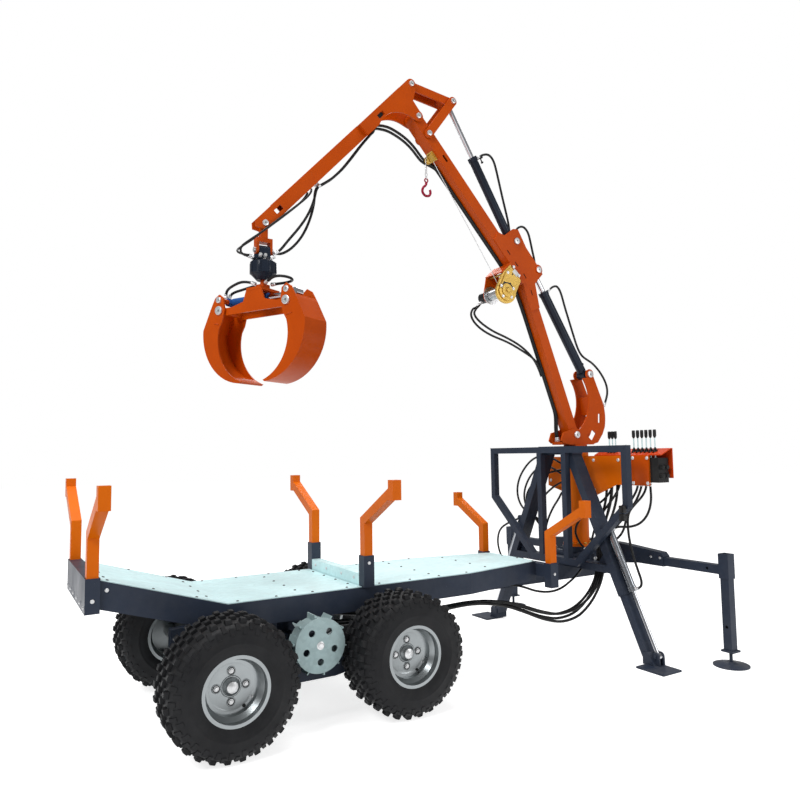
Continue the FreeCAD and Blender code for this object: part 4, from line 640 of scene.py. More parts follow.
def make_rivets(across):
    """Rivet heads that sit on the deck sheets wherever they slope."""
    deck = frame["nodes"]["deck_sheets"]
    low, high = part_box("deck_sheets")
    end_margin, side_margin, spaces = 0.03, 0.022, 13
    run = high.x - low.x - 2 * end_margin
    rows = [(low.x + end_margin + run * index / spaces, side * (high.y - side_margin))
            for index in range(spaces + 1) for side in (-1, 1)]
    for x in (-1.585, -1.16, -0.74, -0.46, -0.35, 0.02, 0.40, 0.755):
        rows += [(x, -0.21 + 0.14 * index) for index in range(4)]
    places = []
    for x, y in rows:
        hit, where, normal, _ = deck.ray_cast(Vector((x, y, 2.0)), Vector((0, 0, -1)))
        if hit and normal.z > 0.5:
            places.append(aim(where, normal))
    size = across / MM
    head = turned([(0, 0), (size * 0.5, 0), (size * 0.46, size * 0.14), (size * 0.3, size * 0.25),
                   (0, size * 0.28)], 14)
    build("deck_rivets", "chassis", "Black casting", (head, places), slot="steel")


def make_frame_bolts(bolt, middle):
    """Bolts of the bed and headboard, of the rollers and round the mast's foot."""
    large, small = [aim(mm(-736, sense * 493, 362), (0, sense, 0)) for sense in (-1, 1)], []
    for sense in (-1, 1):
        small += [aim(mm(x, sense * y, z), (0, sense, 0)) for x, y, z in
                  ((803, 340, 492), (-1639, 332, 632), (middle, 340, 668), (-1585, 320, 668))]
        small += [aim(mm(x, sense * y, z), BACK) for x, y, z in
                  ((1524, 430, 540), (1524, 496, 540), (-1667, 300, 606), (-1667, 180, 606),
                   (-1667, 60, 606), (-436, 230, 588), (-436, 90, 588))]
    bolts("roller_bolts", large, bolt, "chassis")
    bolts("frame_bolts", small, bolt * 0.46, "chassis")
    foot, radius = mm(1349, 0, 598), 85
    circle = [aim(foot + spun(30 * index + 15).to_3x3() @ mm(radius, 0, 0), (0, 0, 1)) for index in range(12)]
    bolts("mast_bolts", circle, bolt * 0.8, "chassis", "Yellow zinc")


def make_console(bolt):
    """The plate and bolts of the console, and the hose clamps below it."""
    build("console_plate", "chassis", "Orange paint",
          (block(5, 128, 176, 1.2), [at(1342, -528, 987)]))
    panel = [aim(mm(1339.5, y, z), BACK) for y in (-476, -580) for z in (1000, 1150)]
    panel += [aim(mm(1345, y, z), BACK) for y, z in
              ((-158, 948), (-158, 1138), (-360, 1138), (236, 1128), (236, 1000))]
    panel += [aim(mm(1457, y, z), (1, 0, 0)) for y in (-200, -420, -640) for z in (1060, 1180)]
    bolts("console_bolts", panel, bolt * 0.62, "chassis")
    build("hose_clamps", "chassis", "Black plastic and painted shade",
          (block(34, 40, 26, 2), [aim(mm(1117, -588, z), BACK) for z in (862, 815)]))


class TRAILER_OT_bed(bpy.types.Operator):
    """Make the deck's rivets, the folded sheet over the middle bunk and the bolts of the frame"""
    bl_idname = "trailer.bed"
    bl_label = "Bed and frame fasteners"

    def execute(self, context):
        sizes = context.scene.trailer.fasteners
        make_rivets(sizes.rivet)
        low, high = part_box("middle_bunk")
        middle = (low.x + high.x) / 2 / MM
        half_width = 283
        folded = sheet([(-27, -3), (-27, 60), (27, 60), (27, -3), (24.5, -3), (24.5, 57.5), (-24.5, 57.5),
                        (-24.5, -3)], 2 * half_width, 0.6)
        build("bunk_sheet", "chassis", "Galvanised",
              (folded, [at(middle, half_width, low.z / MM + 1.6) @ spun(90, "X")]))
        make_frame_bolts(sizes.bolt, middle)
        make_console(sizes.bolt)

        beads = bmesh.new()
        for sense in (-1, 1):
            bead(beads, [(1122, sense * 595 + end * 20, 1207 + end * sense * 20) for end in (-1, 1)],
                 sizes.bead * 0.7)
            bead(beads, [(1255, sense * 45, 473), (1255, sense * 108, 473)], sizes.bead)
            bead(beads, [(779, sense * 339, 553), (827, sense * 339, 553)], sizes.bead)
        bead(beads, [(1290, -111, 500), (1290, -111, 558)], sizes.bead)
        piece("frame_welds", beads, "chassis", "Slate paint")
        return {"FINISHED"}


# ---------------------------------------------------------------- console

class TRAILER_OT_levers(bpy.types.Operator):
    """Make the levers' grips and rubber boots, and the valve block's caps"""
    bl_idname = "trailer.levers"
    bl_label = "Levers and valves"

    def execute(self, context):
        levers = [-250 - 25 * index for index in range(3)] + [-442 - 31 * index for index in range(6)]
        lever_x = 1397
        rows = [at(lever_x, y, 0) for y in levers]
        grip = turned([(0, 1319.5), (7.4, 1319.2), (9.4, 1316), (9.9, 1300), (9.6, 1280), (7.4, 1276),
                       (5.6, 1271), (4.6, 1270), (4.2, 1270)], 20)
        build("lever_grips", "chassis", "Black plastic and painted shade", (grip, rows))
        boot = turned([(16, 1184), (14, 1192), (10.5, 1195), (12.5, 1198), (8.5, 1201), (10, 1204),
                       (6.2, 1208), (5, 1213), (4.2, 1213)], 20)
        build("lever_boots", "chassis", "Hose rubber", (boot, rows))
        round_cap = turned([(0, 0), (15, 0), (15, 6), (13, 8), (13, 17), (10, 20), (0, 20)], 24)
        nut_cap = turned([(0, 0), (11, 0), (11, 8), (9, 10), (0, 10)], 6)
        build("valve_caps", "chassis", "Black casting",
              (round_cap, [aim(mm(x, y, z), (0, sense, 0)) for x in (1375, 1415) for z in (1045, 1095)
                           for y, sense in ((-650, -1), (-225, 1))]),
              (nut_cap, [aim(mm(1441, y, z), (1, 0, 0)) for y in levers for z in (1035, 1085)]))
        return {"FINISHED"}


# ---------------------------------------------------------------- crane

# pins of the crane in its side view, X and Z in millimetres, and the places that hang on them
PIVOT, BEND, ELBOW, JIB_TIP = (1304, 1305), (921, 2287), (105, 3178), (-825, 2383)
LIFT_BASE, LIFT_EYE, JIB_BASE, KNUCKLE = (1446, 1712), (1018, 2374), (840, 2537), (358, 3335)
ROCKER_FOOT, TIE_END, HANGER_PIN_Z = (180, 3090), (58, 3362), 2245
JIB_ANGLE, GRAPPLE_TURN = 47.3, -62
CLAW_ACROSS, CLAW_PIN_Z, CLAW_RAM_Z = 224, 1945, 2000
DRUM, WINCH_FACE = (733, 2200), -74.0
HOOK_X = 190


def along(start, way, place, aside):
    """A point of the side view so far along a direction, and so far off it."""
    return (start[0] + way[0] * place - way[1] * aside, start[1] + way[1] * place + way[0] * aside)


def on_boom(place, aside):
    """A point in millimetres along the upper boom from its bend, and aside to its under face."""
    return along(BEND, Vector((ELBOW[0] - BEND[0], ELBOW[1] - BEND[1])).normalized(), place, aside)


def on_jib(place, aside):
    """A point up the jib from its tip pin, and aside towards its upper face."""
    turn = math.radians(JIB_ANGLE)
    return along(JIB_TIP, (math.cos(turn), math.sin(turn)), place, aside)


def beside(point, y):
    """A point of the side view, set off to one side."""
    return (point[0], y, point[1])


def seat(point, y, axis, turn=0.0):
    """A matrix on such a point, along an axis."""
    return aim(mm(*beside(point, y)), axis, turn)


def in_grapple(x, y, z):
    """A point of the grapple's own frame, whose X runs across the claws."""
    turn = math.radians(GRAPPLE_TURN)
    return (JIB_TIP[0] + math.cos(turn) * x - math.sin(turn) * y, math.sin(turn) * x + math.cos(turn) * y, z)


def pin_heads(name, body, places, radius):
    cap = turned([(radius * 0.30, 3.2), (radius * 0.36, 4.6), (radius * 0.95, 4.6), (radius * 1.12, 3.4),
                  (radius * 1.16, 0.2), (radius * 1.16, -5), (radius * 0.30, -5)], 36, closed=True)
    nipple = turned([(0, 7.5), (1.6, 7.5), (2.2, 6), (1.5, 4.8), (1.9, 3), (1.9, 0), (0, 0)], 12)
    # painted shade: a black disc sunk in the cap's middle stands for the shade in the pin head's hollow
    hollow_shade = turned([(0, 2.2), (radius * 0.31, 2.2), (radius * 0.31, -4), (0, -4)], 20)
    build(name + "_pins", body, "Zinc fastener", (cap, places), (nipple, places))
    build(name + "_pin_wells", body, "Black plastic and painted shade", (hollow_shade, places))


class TRAILER_OT_pins(bpy.types.Operator):
    """Make the crane's pin heads with their washers and grease nipples"""
    bl_idname = "trailer.pins"
    bl_label = "Pins"

    def execute(self, context):
        def pair(face, *points):
            return [seat(point, side * face, (0, side, 0)) for point in points for side in (-1, 1)]

        def claw(face, *points):
            return [aim(mm(*in_grapple(x, side * face, z)),
                        Vector(in_grapple(0, side, 0)) - Vector(in_grapple(0, 0, 0)))
                    for x, z in points for side in (-1, 1)]

        tip = [aim(mm(JIB_TIP[0] + side * 48, 0, HANGER_PIN_Z), (side, 0, 0)) for side in (-1, 1)]
        for name, body, places, radius in (
                ("head", "crane_head", pair(66, PIVOT, LIFT_BASE), 20),
                ("boom", "main_boom", pair(58, LIFT_EYE, JIB_BASE), 18),
                ("jib", "jib", pair(63, ELBOW, TIE_END), 14),
                ("jib_tip", "jib", pair(36, JIB_TIP), 14),
                ("rocker", "rocker_link", pair(63, KNUCKLE, ROCKER_FOOT), 14),
                ("hanger", "hanger_link", tip, 12),
                ("grapple", "grapple_frame",
                 claw(90, (-CLAW_ACROSS, CLAW_PIN_Z), (CLAW_ACROSS, CLAW_PIN_Z)), 20),
                ("left_claw", "left_claw", claw(90, (-CLAW_ACROSS, CLAW_RAM_Z)), 14),
                ("right_claw", "right_claw", claw(85, (CLAW_ACROSS, CLAW_RAM_Z)), 14)):
            pin_heads(name, body, places, radius)
        return {"FINISHED"}


def make_welds(width):
    boom, jib = bmesh.new(), bmesh.new()
    for side in (-1, 1):
        y = side * 43
        bead(boom, [beside((693, 2574), y), beside(on_boom(350, 35), y)], width)
        bead(boom, [(955, y, 2096), (1021, y, 2126)], width)
        bead(boom, [beside(on_boom(18, 36), y), beside(on_boom(340, 36), y)], width * 0.7)
        for across in (-30, 38):
            bead(jib, [beside(on_jib(842, across * share), side * 46) for share in (1, 0.2)], width)
        bead(jib, [beside(on_jib(place, 44.5), side * 27) for place in (120, 835)], width * 0.5)
    piece("boom_welds", boom, "main_boom", "Orange paint")
    piece("jib_welds", jib, "jib", "Orange paint")
    for body, sense in (("left_claw", -1), ("right_claw", 1)):
        beads = bmesh.new()
        for side in (-1, 1):
            bead(beads, [in_grapple(sense * x, side * 86, z) for x, z in ((226, 1873), (258, 1879))],
                 width * 0.9)
        piece(body + "_welds", beads, body, "Orange paint")


def paint_slit_shade():
    """Black sheets that paint the shade inside the slits in the knee plates and the jib's slot."""
    def shaped(length, width):
        half, ends = length / 2 - width / 2, []
        for side in (1, -1):
            ends += [(side * (half + width / 2 * math.cos(math.radians(turn))),
                      side * width / 2 * math.sin(math.radians(turn))) for turn in range(-90, 91, 30)]
        return sheet(ends, 1.6, 0)

    for name, body, level, spots in (
            ("knee_slits", "main_boom", 45.0, [((774, 2455), 133, 35, 8.4), ((837, 2387), 133, 35, 8.4),
                                               ((904, 2319), 125, 35, 8.4), ((957, 2217), 112, 35, 8.4)]),
            ("jib_slots", "jib", 46.3, [(on_jib(1000, 4), JIB_ANGLE, 51, 23)])):
        build(name, body, "Black plastic and painted shade",
              *[(shaped(length, width),
                 [at(*beside(spot, side * level + 0.8)) @ spun(-angle, "Y") @ spun(90, "X")])
                for side in (-1, 1) for spot, angle, length, width in spots])


def make_winch():
    """Bolts, black sheets that paint the shade in the case's openings, the blank plate of the winch's case, and
    the bolts of its motor.
    """
    def on_case(point, rise=0.0, turn=0.0):
        return seat(point, WINCH_FACE - rise, (0, -1, 0), turn)

    def by_drum(*offsets):
        return [(DRUM[0] + x, DRUM[1] + z) for x, z in offsets]

    spots = [on_boom(140, 48), on_boom(142, 112), on_boom(74, 52)]
    spots += by_drum((-46, 26), (-34, -38), (34, -38), (50, 18))
    bolts("winch_bolts", [on_case(spot) for spot in spots], 0.015, "main_boom")
    bolts("winch_hub", [on_case(DRUM, 6)], 0.03, "main_boom", "Yellow zinc")
    # painted shade: thin black discs over the case's holes and a black arc round the drum's hub
    hole_shade = turned([(0, 0.6), (6.5, 0.6), (7, 0), (0, 0)], 18)
    arc_shade = bmesh.new()
    end = [arc_shade.verts.new(mm(radius, 0, rise)) for radius, rise in ((46, 0), (54, 0), (54, 0.7), (46, 0.7))]
    bmesh.ops.spin(arc_shade, geom=[arc_shade.faces.new(end)], cent=(0, 0, 0), axis=(0, 0, 1),
                   angle=math.radians(150), steps=20, use_merge=False, use_duplicate=False)
    build("winch_openings", "main_boom", "Black plastic and painted shade",
          (hole_shade, [on_case(spot) for spot in by_drum((-22, 50), (26, 47)) + [on_boom(112, 88)]]),
          (arc_shade, [on_case(DRUM, turn=math.radians(20))]))
    build("blank_plate", "main_boom", "White plate",
          (block(46, 30, 1.2, 0.3), [on_case(on_boom(104, 62), 0.2) @ spun(-42)]))
    circle = [aim(mm(*beside(DRUM, 110)) + spun(90 * index + 45, "Y").to_3x3() @ mm(40, 0, 0), (0, 1, 0))
              for index in range(4)]
    bolts("winch_motor_bolts", circle, 0.011, "main_boom")


def make_rope(diameter):
    """The rope over its sheave, its turns on the drum, and the chain and hook that hang on it."""
    radius = diameter / 2
    path = [(757, 10, 2219), (640, 6, 2388), (400, 2, 2729), (262, 0, 2925), (240, 0, 2958),
            (224, 0, 2979), (204, 0, 2980), (191, 0, 2962), (HOOK_X, 0, 2935), (HOOK_X, 0, 2905)]
    made = settle("winch_rope", line_mesh("winch_rope", path, radius), "Bright steel")
    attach(made, "main_boom")
    across, aside = (1, 0, 0), (0, 1, 0)
    turns = [seat(DRUM, -36 + 5.1 * index, aside) for index in range(23)]
    build("rope_turns", "winch_drum", "Bright steel", (ring(30.5, radius / MM, 40), turns))

    def hung(z, axis):
        return seat((HOOK_X, z), 0, axis)

    socket = turned([(0, 0), (5, 0), (6, 3), (6, 22), (4, 26), (0, 26)], 16)
    link = ring(7, 2.2, 24)
    bmesh.ops.scale(link, vec=(1, 1.5, 1), verts=link.verts)
    build("hook_chain", "main_boom", "Zinc fastener", (socket, [at(HOOK_X, 0, 2886)]),
          (link, [hung(2878, across), hung(2861, aside), hung(2844, across)]))
    red = stamp(bmesh.new(), ring(11, 4.2, 24), [hung(2823, aside)])
    bow = [(190, 0, 2812), (190, 0, 2794), (168, 0, 2780), (158, 0, 2750), (178, 0, 2726), (210, 0, 2730),
           (222, 0, 2754), (215, 0, 2770)]
    hook = line_mesh("hook_shape", bow, 0.0075)
    red.from_mesh(hook)
    bpy.data.meshes.remove(hook)
    piece("winch_hook", red, "main_boom", "Hook paint")


def make_rotator():
    """Ribs and port block of the rotator, its ring of bolts and its unions."""
    turns = [at(JIB_TIP[0], 0, 0) @ spun(45 * index + 10) for index in range(8)]
    build("rotator_ribs", "rotator", "Dark ram paint",
          (block(9, 13, 56, 1.5), [turn @ at(65, 0, 2123) for turn in turns]),
          (block(84, 46, 20, 2), [at(-845, -24, 2190)]))
    bolts("rotator_bolts", [turn @ spun(22) @ at(50, 0, 2186) for turn in turns], 0.012, "rotator")
    ends = [aim(mm(-887, -10 - 22 * index, 2200), (-1, 0, 0.15)) for index in range(2)]
    ends += [aim(mm(-858 + 26 * index, -46, 2202), (-0.2, -1, 0.25)) for index in range(2)]
    ends += [aim(mm(-800, -46, 2200), (0.8, -0.3, 0.2))]
    build("rotator_unions", "rotator", "Zinc fastener",
          *[(part, ends) for part in fitting_parts(0.0065)])


class TRAILER_OT_crane(bpy.types.Operator):
    """Make the crane's welds, the painted shade in its slits and in the winch's openings, the winch's fasteners
    and rope, and the rotator's fittings
    """
    bl_idname = "trailer.crane"
    bl_label = "Welds, winch and rope"

    def execute(self, context):
        sizes = context.scene.trailer
        tree, shader, where = start_material("White plate", Roughness=0.45)
        shade = placed(tree, "Colour drift", Vector=where, Colour=(0.72, 0.72, 0.70, 1),
                       Shade=(0.52, 0.51, 0.48, 1), Scale=40.0, Amount=0.5)
        tree.links.new(shade["Colour"], shader["Base Color"])
        make_welds(sizes.fasteners.bead)
        paint_slit_shade()
        make_winch()
        make_rope(sizes.hoses.rope)
        make_rotator()
        return {"FINISHED"}


# ---------------------------------------------------------------- hoses

# control points in millimetres: of hoses on the crane and under the deck, of the grapple's in its own
# frame, and of those between the console, the mast's foot and the legs
ROUTES = {
    "lift_hose": [
        (1141, 0, 2258), (1160, 0, 2271), (1192, 0, 2296), (1232, 0, 2304), (1264, 0, 2262),
        (1290, 0, 2180), (1328, 0, 2080), (1364, 0, 1986), (1398, 0, 1898), (1434, 0, 1846),
        (1480, -4, 1820), (1530, -8, 1798), (1588, -16, 1744), (1630, -28, 1672), (1634, -40, 1606),
        (1606, -50, 1548), (1574, -56, 1500)],
    "jib_ram_hose": [
        (576, 0, 3046), (594, 0, 3057), (628, 0, 3082), (676, 0, 3092), (712, 0, 3060), (734, 0, 2990),
        (757, 0, 2900), (781, 0, 2810), (804, 0, 2730), (822, 0, 2660), (830, 0, 2598)],
    "knee_hose": [
        (858, 0, 2580), (868, 0, 2612), (898, 0, 2652), (945, 0, 2668), (986, 0, 2636), (1004, 0, 2574),
        (1020, 0, 2506), (1036, 0, 2450), (1036, 0, 2410)],
    "deck_hose": [
        (690, -56, 402), (722, -72, 400), (779, -100, 386), (865, -106, 352), (971, -108, 334),
        (1072, -104, 341), (1177, -100, 385), (1262, -94, 436), (1304, -86, 468)],
}
GRAPPLE_ROUTES = {
    "grapple_hose_1": [
        (34, -20, 2070), (62, -30, 2078), (120, -44, 2088), (176, -30, 2080), (190, 6, 2072),
        (160, 34, 2070), (110, 40, 2070), (60, 38, 2072), (30, 30, 2070)],
    "grapple_hose_2": [
        (-30, -24, 2070), (-58, -34, 2082), (-112, -42, 2090), (-172, -34, 2082), (-228, -22, 2070),
        (-248, -14, 2048), (-249, -12, 2027)],
    "grapple_hose_3": [
        (-30, 24, 2066), (-60, 34, 2080), (-116, 42, 2082), (-176, 30, 2070), (-226, 22, 2062),
        (-245, 14, 2046), (-247, 12, 2027)],
}
CONSOLE_ROUTES = {
    "column_hose_1": [
        (1380, -286, 1004), (1379, -284, 975), (1362, -246, 905), (1330, -180, 846), (1282, -104, 786),
        (1258, -52, 690), (1266, -84, 612), (1284, -114, 578), (1287, -120, 556)],
    "column_hose_2": [
        (1404, -318, 1004), (1402, -318, 975), (1368, -296, 905), (1334, -258, 840), (1312, -204, 756),
        (1303, -168, 664), (1296, -160, 598), (1290, -156, 556)],
    "column_hose_3": [
        (1385, -470, 1004), (1385, -470, 975), (1372, -452, 925), (1340, -430, 868), (1318, -428, 780),
        (1312, -404, 696), (1306, -330, 634), (1298, -254, 580), (1289, -214, 528), (1287, -192, 520)],
    "column_hose_4": [
        (1302, 56, 940), (1288, 74, 930), (1292, 112, 880), (1308, 190, 812), (1316, 258, 716),
        (1310, 280, 610), (1294, 246, 536), (1288, 214, 520), (1287, 192, 520)],
    "column_hose_5": [
        (1303, 54, 1108), (1290, 72, 1114), (1288, 150, 1150), (1292, 250, 1176), (1298, 390, 1140),
        (1304, 520, 1020), (1306, 556, 900), (1306, 506, 796), (1308, 396, 752), (1308, 300, 716),
        (1300, 230, 640), (1290, 190, 566), (1287, 186, 532)],
    "column_hose_6": [
        (1302, 56, 1040), (1288, 76, 1046), (1290, 170, 1092), (1296, 270, 1104), (1310, 400, 1040),
        (1318, 486, 930), (1320, 490, 830), (1320, 420, 756), (1318, 320, 700), (1306, 226, 600),
        (1292, 166, 572), (1287, 150, 556)],
    "column_hose_7": [
        (1302, 56, 1072), (1287, 76, 1074), (1284, 160, 1060), (1292, 290, 1030), (1296, 410, 940),
        (1296, 450, 860), (1298, 400, 770), (1298, 320, 700), (1296, 230, 610), (1290, 180, 540),
        (1287, 172, 508)],
    "far_outrigger_hose": [
        (1206, 571, 408), (1206, 594, 420), (1206, 642, 466), (1206, 668, 552), (1208, 640, 640),
        (1222, 560, 690), (1268, 470, 730), (1308, 400, 780), (1322, 330, 850), (1316, 230, 930),
        (1294, 96, 990), (1302, 56, 1000)],
    "column_hose_8": [
        (1385, -500, 1004), (1384, -498, 972), (1366, -462, 880), (1334, -412, 800), (1312, -352, 730),
        (1306, -282, 650), (1300, -214, 586), (1291, -172, 572), (1287, -170, 556)],
    "outrigger_hose_1": [
        (1400, -520, 1004), (1400, -522, 975), (1372, -512, 920), (1310, -496, 868), (1262, -488, 820),
        (1240, -504, 717), (1226, -540, 600), (1214, -590, 500), (1208, -618, 446), (1206, -606, 410),
        (1206, -571, 404)],
    "outrigger_hose_2": [
        (1400, -548, 1004), (1400, -549, 975), (1390, -560, 894), (1352, -564, 818), (1300, -548, 764),
        (1252, -508, 744), (1216, -464, 746), (1206, -443, 740), (1206, -419, 728)],
}


def hose(name, radius, bodies, bend=None, ends=(True, True), points=None):
    """A hose riding on one body, or with two bodies left fixed in place, with fittings on its ends that show, each
    on its end's body.
    """
    points = points or ROUTES[name]
    path = line_mesh(name, points, 0.0)
    bpy.data.meshes.remove(path)
    made = settle(name, line_mesh(name, points, radius), "Hose rubber")
    if len(bodies) == 2:
        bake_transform(made)
    else:
        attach(made, bodies[0])
    for wanted, mark, corner, after, body in ((ends[0], "start", points[0], points[1], bodies[0]),
                                              (ends[1], "end", points[-1], points[-2], bodies[-1])):
        if wanted:
            place = aim(mm(*corner), Vector(after) - Vector(corner))
            build(name + "_" + mark, body, "Zinc fastener",
                  *[(part, [place]) for part in fitting_parts(radius)])


def boom_hoses(main, thin):
    """The loops of both rams, of the knee and of the winch, and the valve on the jib's ram."""
    port = main * 0.9
    hose("lift_hose", port, ("lift_barrel", "crane_head"), ((1290, 0, 2180), (1440, 0, 1810)))
    hose("jib_ram_hose", port, ("jib_barrel", "main_boom"), ((700, 0, 3060), (806, 0, 2740)),
         (True, False))
    stem = turned([(0, 0), (9, 0), (9, 8), (7, 9), (7, 44), (9, 46), (9, 58), (6, 60), (0, 60)], 8)
    knob = turned([(0, 0), (4, 0), (4, 26), (8, 27), (8, 36), (0, 38)], 16)
    build("jib_ram_valve", "jib_barrel", "Black casting", (stem, [aim(mm(566, 0, 3034), (0.86, 0, 0.5))]),
          (knob, [aim(mm(602, 0, 3054), (0.5, 0, -0.86))]), slot="steel")
    hose("knee_hose", port, ("main_boom",), None, (False, True))
    hose("deck_hose", thin, ("chassis",), None, (False, False))
    for index, (shift, sag) in enumerate(((0, 0), (17, 26))):
        hose("winch_hose_%d" % (index + 1), thin, ("main_boom",), None, (True, False),
             [(715 - shift, 165, 2175 - shift), (700 - shift * 1.5, 165, 2150 - shift),
              (655 - sag, 150, 2118), (628 - sag, 138, 2080 - sag / 2), (662 - sag, 122, 2030 - sag),
              (750 - sag, 104, 1975 - sag), (860, 84, 1935 - sag), (960, 66, 1885 - sag),
              (1040, 50 - shift, 1815 - sag / 2), (1085, 44 - shift, 1742), (1101, 40 - shift, 1690)])


def joint_hoses(main, thin):
    """Pairs that cross the elbow, the boom's foot and the jib's tip."""
    lead, under = on_boom(930, 44), on_boom(985, 47)
    for index, y in enumerate((18.5, 33.5)):
        lift, side, near = 15 * index, 71 + 16 * index, -9 + 18 * index
        hose("elbow_hose_%d" % (index + 1), main, ("main_boom", "jib"),
             ((170, 0, 2990), (-60, 0, 3090)), (False, False),
             [beside(on_boom(900, 42.3), y), beside(lead, y + 16),
              (under[0] - lift * 0.4, side, under[1] - lift * 0.4),
              (182 - lift * 0.4, side, 3022 - lift * 0.6), (142, side, 3060 - lift),
              (92, side - 3, 3090 - lift), (26, side - 14, 3108 - lift), (-44, side - 34, 3112 - lift),
              (-108, 20 + 14 * index, 3100 - lift), (-160, 2 + 18 * index, 3078 - lift * 0.6),
              beside(on_jib(922, -39), near), beside(on_jib(905, -37.4), near)])
        hose("boom_foot_hose_%d" % (index + 1), main, ("main_boom", "crane_head"),
             ((1200, 0, 1450), (1206, 0, 1300)), (False, True),
             [(1195.6, y, 1466.6), (1204, y, 1446), (1206, y, 1392), (1203, y, 1335), (1212, y, 1290),
              (1214, y, 1262)])
    clip = on_jib(400, -49)
    for index, (y, end, sag) in enumerate(((-9, (-776, -30, 2232), 0), (9, (-776, -8, 2230), 26))):
        hose("drop_hose_%d" % (index + 1), thin, ("jib", "hanger_link"),
             ((-570, 0, 2500), (-740, 0, 2290)), (False, True),
             [beside(clip, y), (clip[0] - 14, y - 2, clip[1] - 18),
              (-546 + sag * 0.3, y - 8, 2560 - sag * 0.5), (-584 + sag * 0.6, y - 14, 2470 - sag),
              (-640 + sag, y - 20, 2386 - sag * 1.4), (-700 + sag, y - 24, 2312 - sag * 1.4),
              (-742 + sag * 0.5, end[1] - 2, 2254 - sag * 0.6), (end[0] + 14, end[1], end[2] + 8), end])
    for index, y in enumerate((-48, 52)):
        hose("rotator_line_%d" % (index + 1), thin * 0.8, ("jib", "hanger_link"),
             ((-640, 0, 2500), (-860, 0, 2310)), (False, False),
             [beside(on_jib(345, -34), y * 0.5), beside(on_jib(320, -52), y * 0.9),
              (-690, y, 2470), (-770, y, 2400), (-850, y, 2326), (-918, y * 0.9, 2272),
              (-958, y * 0.7, 2236), (-944, -14 - 11 * index, 2204), (-904, -10 - 22 * index, 2203)])


class TRAILER_OT_hoses(bpy.types.Operator):
    """Make the hoses that hang in loops or cross a joint, with their fittings"""
    bl_idname = "trailer.hoses"
    bl_label = "Hoses"

    def execute(self, context):
        sizes = context.scene.trailer.hoses
        main, thin = sizes.main / 2, sizes.thin / 2
        boom_hoses(main, thin)
        joint_hoses(main, thin)
        for name, route in GRAPPLE_ROUTES.items():
            bodies, bend = ("grapple_frame",), None
            if name != "grapple_hose_1":
                bodies += ("left_claw",)
                bend = (in_grapple(-70, 0, 2070), in_grapple(-180, 0, 2040))
            hose(name, thin, bodies, bend, points=[in_grapple(*point) for point in route])
        for name, route in CONSOLE_ROUTES.items():
            hose(name, thin, ("chassis",), points=route)
        lean = (math.cos(math.radians(JIB_ANGLE)), 0, math.sin(math.radians(JIB_ANGLE)))
        sleeve = turned([(7.6, -9), (10, -9), (10, 9), (7.6, 9)], 20, closed=True)
        build("jib_clip", "jib", "Zinc fastener",
              (sleeve, [seat(on_jib(402, -49), y, lean) for y in (-9, 9)]),
              (block(12, 30, 30, 1.5), [seat(on_jib(402, -38), 0, (-lean[2], 0, lean[0])) @ at(0, 0, -14)]))
        return {"FINISHED"}


# ---------------------------------------------------------------- stage

CAMERA_PLACE, CAMERA_LENS, CAMERA_SENSOR = (-2.005, -3.286, 1.190), 30.57, 36.0
CAMERA_TURN, CAMERA_PITCH, CAMERA_ROLL = -31.2, 4.6, -0.8
FLOOR_TONE, FLOOR_GLOW, SKY_LIGHT = 0.74, 0.76, 0.34
# name, place, target, diameter in metres and power in watts
LAMPS = (("key", (-5.5, -2.4, 5.2), (0.0, 0.0, 0.9), 2.6, 210),
         ("fill", (3.4, -5.4, 2.8), (1.2, 0.0, 0.9), 3.0, 95),
         ("rim", (3.5, 4.5, 5.0), (0.3, 0.0, 1.3), 3.0, 90),
         ("overhead", (-0.6, 0.4, 6.4), (-0.4, 0.0, 0.6), 4.0, 230))


def make_lamp(name, place, target, size, power):
    light = bpy.data.lights.new(name, "AREA")
    light.shape = "DISK"
    light.size = size
    light.energy = power
    made = bpy.data.objects.new(name, light)
    made.location = place
    made.rotation_euler = (Vector(target) - Vector(place)).to_track_quat("-Z", "Y").to_euler()
    bpy.context.collection.objects.link(made)


def make_floor():
    """A white floor that glows to the camera alone, so that it meets the background."""
    floor = bmesh.new()
    bmesh.ops.create_grid(floor, x_segments=1, y_segments=1, size=30.0)
    mesh = bpy.data.meshes.new("floor")
    floor.to_mesh(mesh)
    floor.free()
    ground = bpy.data.objects.new("floor", mesh)
    bpy.context.collection.objects.link(ground)
    material = bpy.data.materials.new("Studio floor")
    material.use_nodes = True
    tree = material.node_tree
    shader = tree.nodes["Principled BSDF"].inputs
    shader["Roughness"].default_value = 0.9
    shader["Specular IOR Level"].default_value = 0.0
    shader["Base Color"].default_value = (FLOOR_TONE, FLOOR_TONE, FLOOR_TONE, 1)
    shader["Emission Color"].default_value = (1, 1, 1, 1)
    seen = add(tree, "ShaderNodeLightPath").outputs
    either = times(tree, seen["Is Camera Ray"], seen["Is Glossy Ray"], "MAXIMUM")
    tree.links.new(times(tree, either, FLOOR_GLOW), shader["Emission Strength"])
    mesh.materials.append(material)


def make_surroundings(scene):
    """A white world, full white to the camera and softer as a light."""
    world = bpy.data.worlds.new("Studio")
    scene.world = world
    world.use_nodes = True
    tree = world.node_tree
    seen = add(tree, "ShaderNodeLightPath").outputs
    shown = times(tree, seen["Is Camera Ray"], seen["Is Transmission Ray"], "MAXIMUM")
    background = tree.nodes["Background"]
    background.inputs[0].default_value = (1, 1, 1, 1)
    tree.links.new(spread(tree, shown, 0.0, 1.0, SKY_LIGHT, 1.0), background.inputs[1])


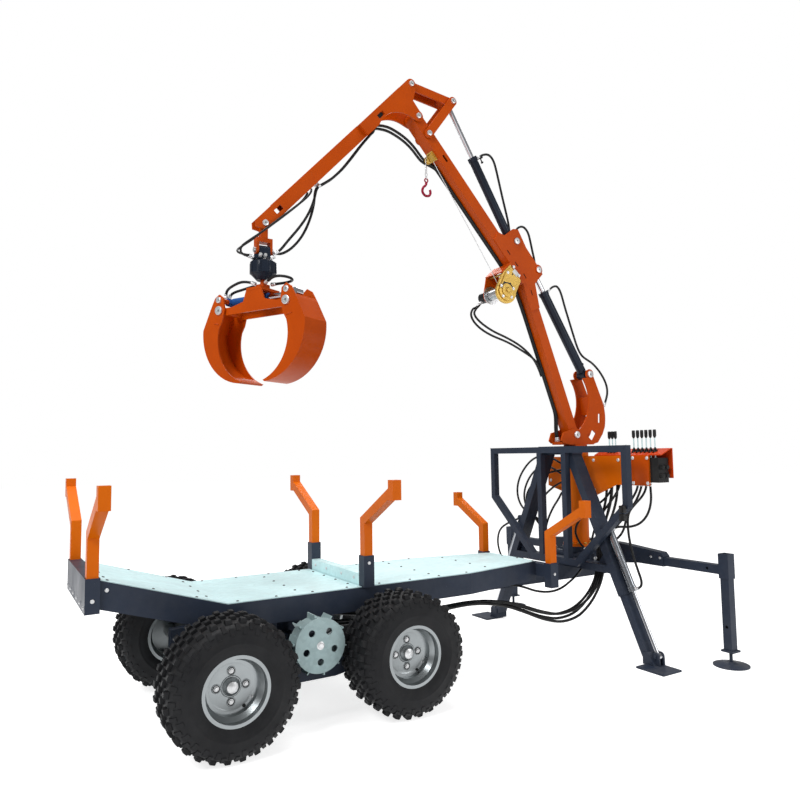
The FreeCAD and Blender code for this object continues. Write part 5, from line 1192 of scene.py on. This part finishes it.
def make_camera(scene):
    camera = bpy.data.cameras.new("camera")
    camera.sensor_width = CAMERA_SENSOR
    camera.lens = CAMERA_LENS
    made = bpy.data.objects.new("camera", camera)
    bpy.context.collection.objects.link(made)
    turn, pitch, roll = map(math.radians, (CAMERA_TURN, CAMERA_PITCH, CAMERA_ROLL))
    forward = Vector((-math.sin(turn) * math.cos(pitch), math.cos(turn) * math.cos(pitch),
                      math.sin(pitch)))
    level = Vector((math.cos(turn), math.sin(turn), 0))
    rise = level.cross(forward)
    right = level * math.cos(roll) + rise * math.sin(roll)
    up = rise * math.cos(roll) - level * math.sin(roll)
    made.matrix_world = Matrix.Translation(CAMERA_PLACE) @ Matrix(
        (right, up, -forward)).transposed().to_4x4()
    scene.camera = made
    scene.view_settings.view_transform = "Standard"


class TRAILER_OT_stage(bpy.types.Operator):
    """Make the floor, the soft lights, the white surroundings and the camera"""
    bl_idname = "trailer.stage"
    bl_label = "Stage"

    def execute(self, context):
        make_floor()
        make_surroundings(context.scene)
        for lamp in LAMPS:
            make_lamp(*lamp)
        make_camera(context.scene)
        return {"FINISHED"}


# ---------------------------------------------------------------- panel and start

GROUPS = (FinishSettings, TyreSettings, FastenerSettings, HoseSettings, TrailerSettings)
OPERATORS = (TRAILER_OT_stage, TRAILER_OT_finishes, TRAILER_OT_hoses, TRAILER_OT_tyres, TRAILER_OT_bed,
             TRAILER_OT_levers, TRAILER_OT_pins, TRAILER_OT_crane)


class TRAILER_PT_panel(bpy.types.Panel):
    """Sizes, colours and makers of the trailer's pieces"""
    bl_label = "Trailer"
    bl_idname = "TRAILER_PT_panel"
    bl_space_type = "VIEW_3D"
    bl_region_type = "UI"
    bl_category = "Trailer"

    def draw(self, context):
        settings = context.scene.trailer
        for group in (settings.finishes, settings.tyres, settings.fasteners, settings.hoses):
            box = self.layout.box()
            for key in group.__annotations__:
                box.prop(group, key)
        for operator in OPERATORS:
            self.layout.operator(operator.bl_idname)


def register():
    for item in GROUPS + OPERATORS + (TRAILER_PT_panel,):
        bpy.utils.register_class(item)
    bpy.types.Scene.trailer = bpy.props.PointerProperty(type=TrailerSettings)


def unregister():
    del bpy.types.Scene.trailer
    for item in reversed(GROUPS + OPERATORS + (TRAILER_PT_panel,)):
        bpy.utils.unregister_class(item)


def main():
    register()
    for operator in OPERATORS:
        getattr(bpy.ops.trailer, operator.bl_idname.split(".")[1])()
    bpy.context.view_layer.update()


if __name__ == "__main__":
    main()
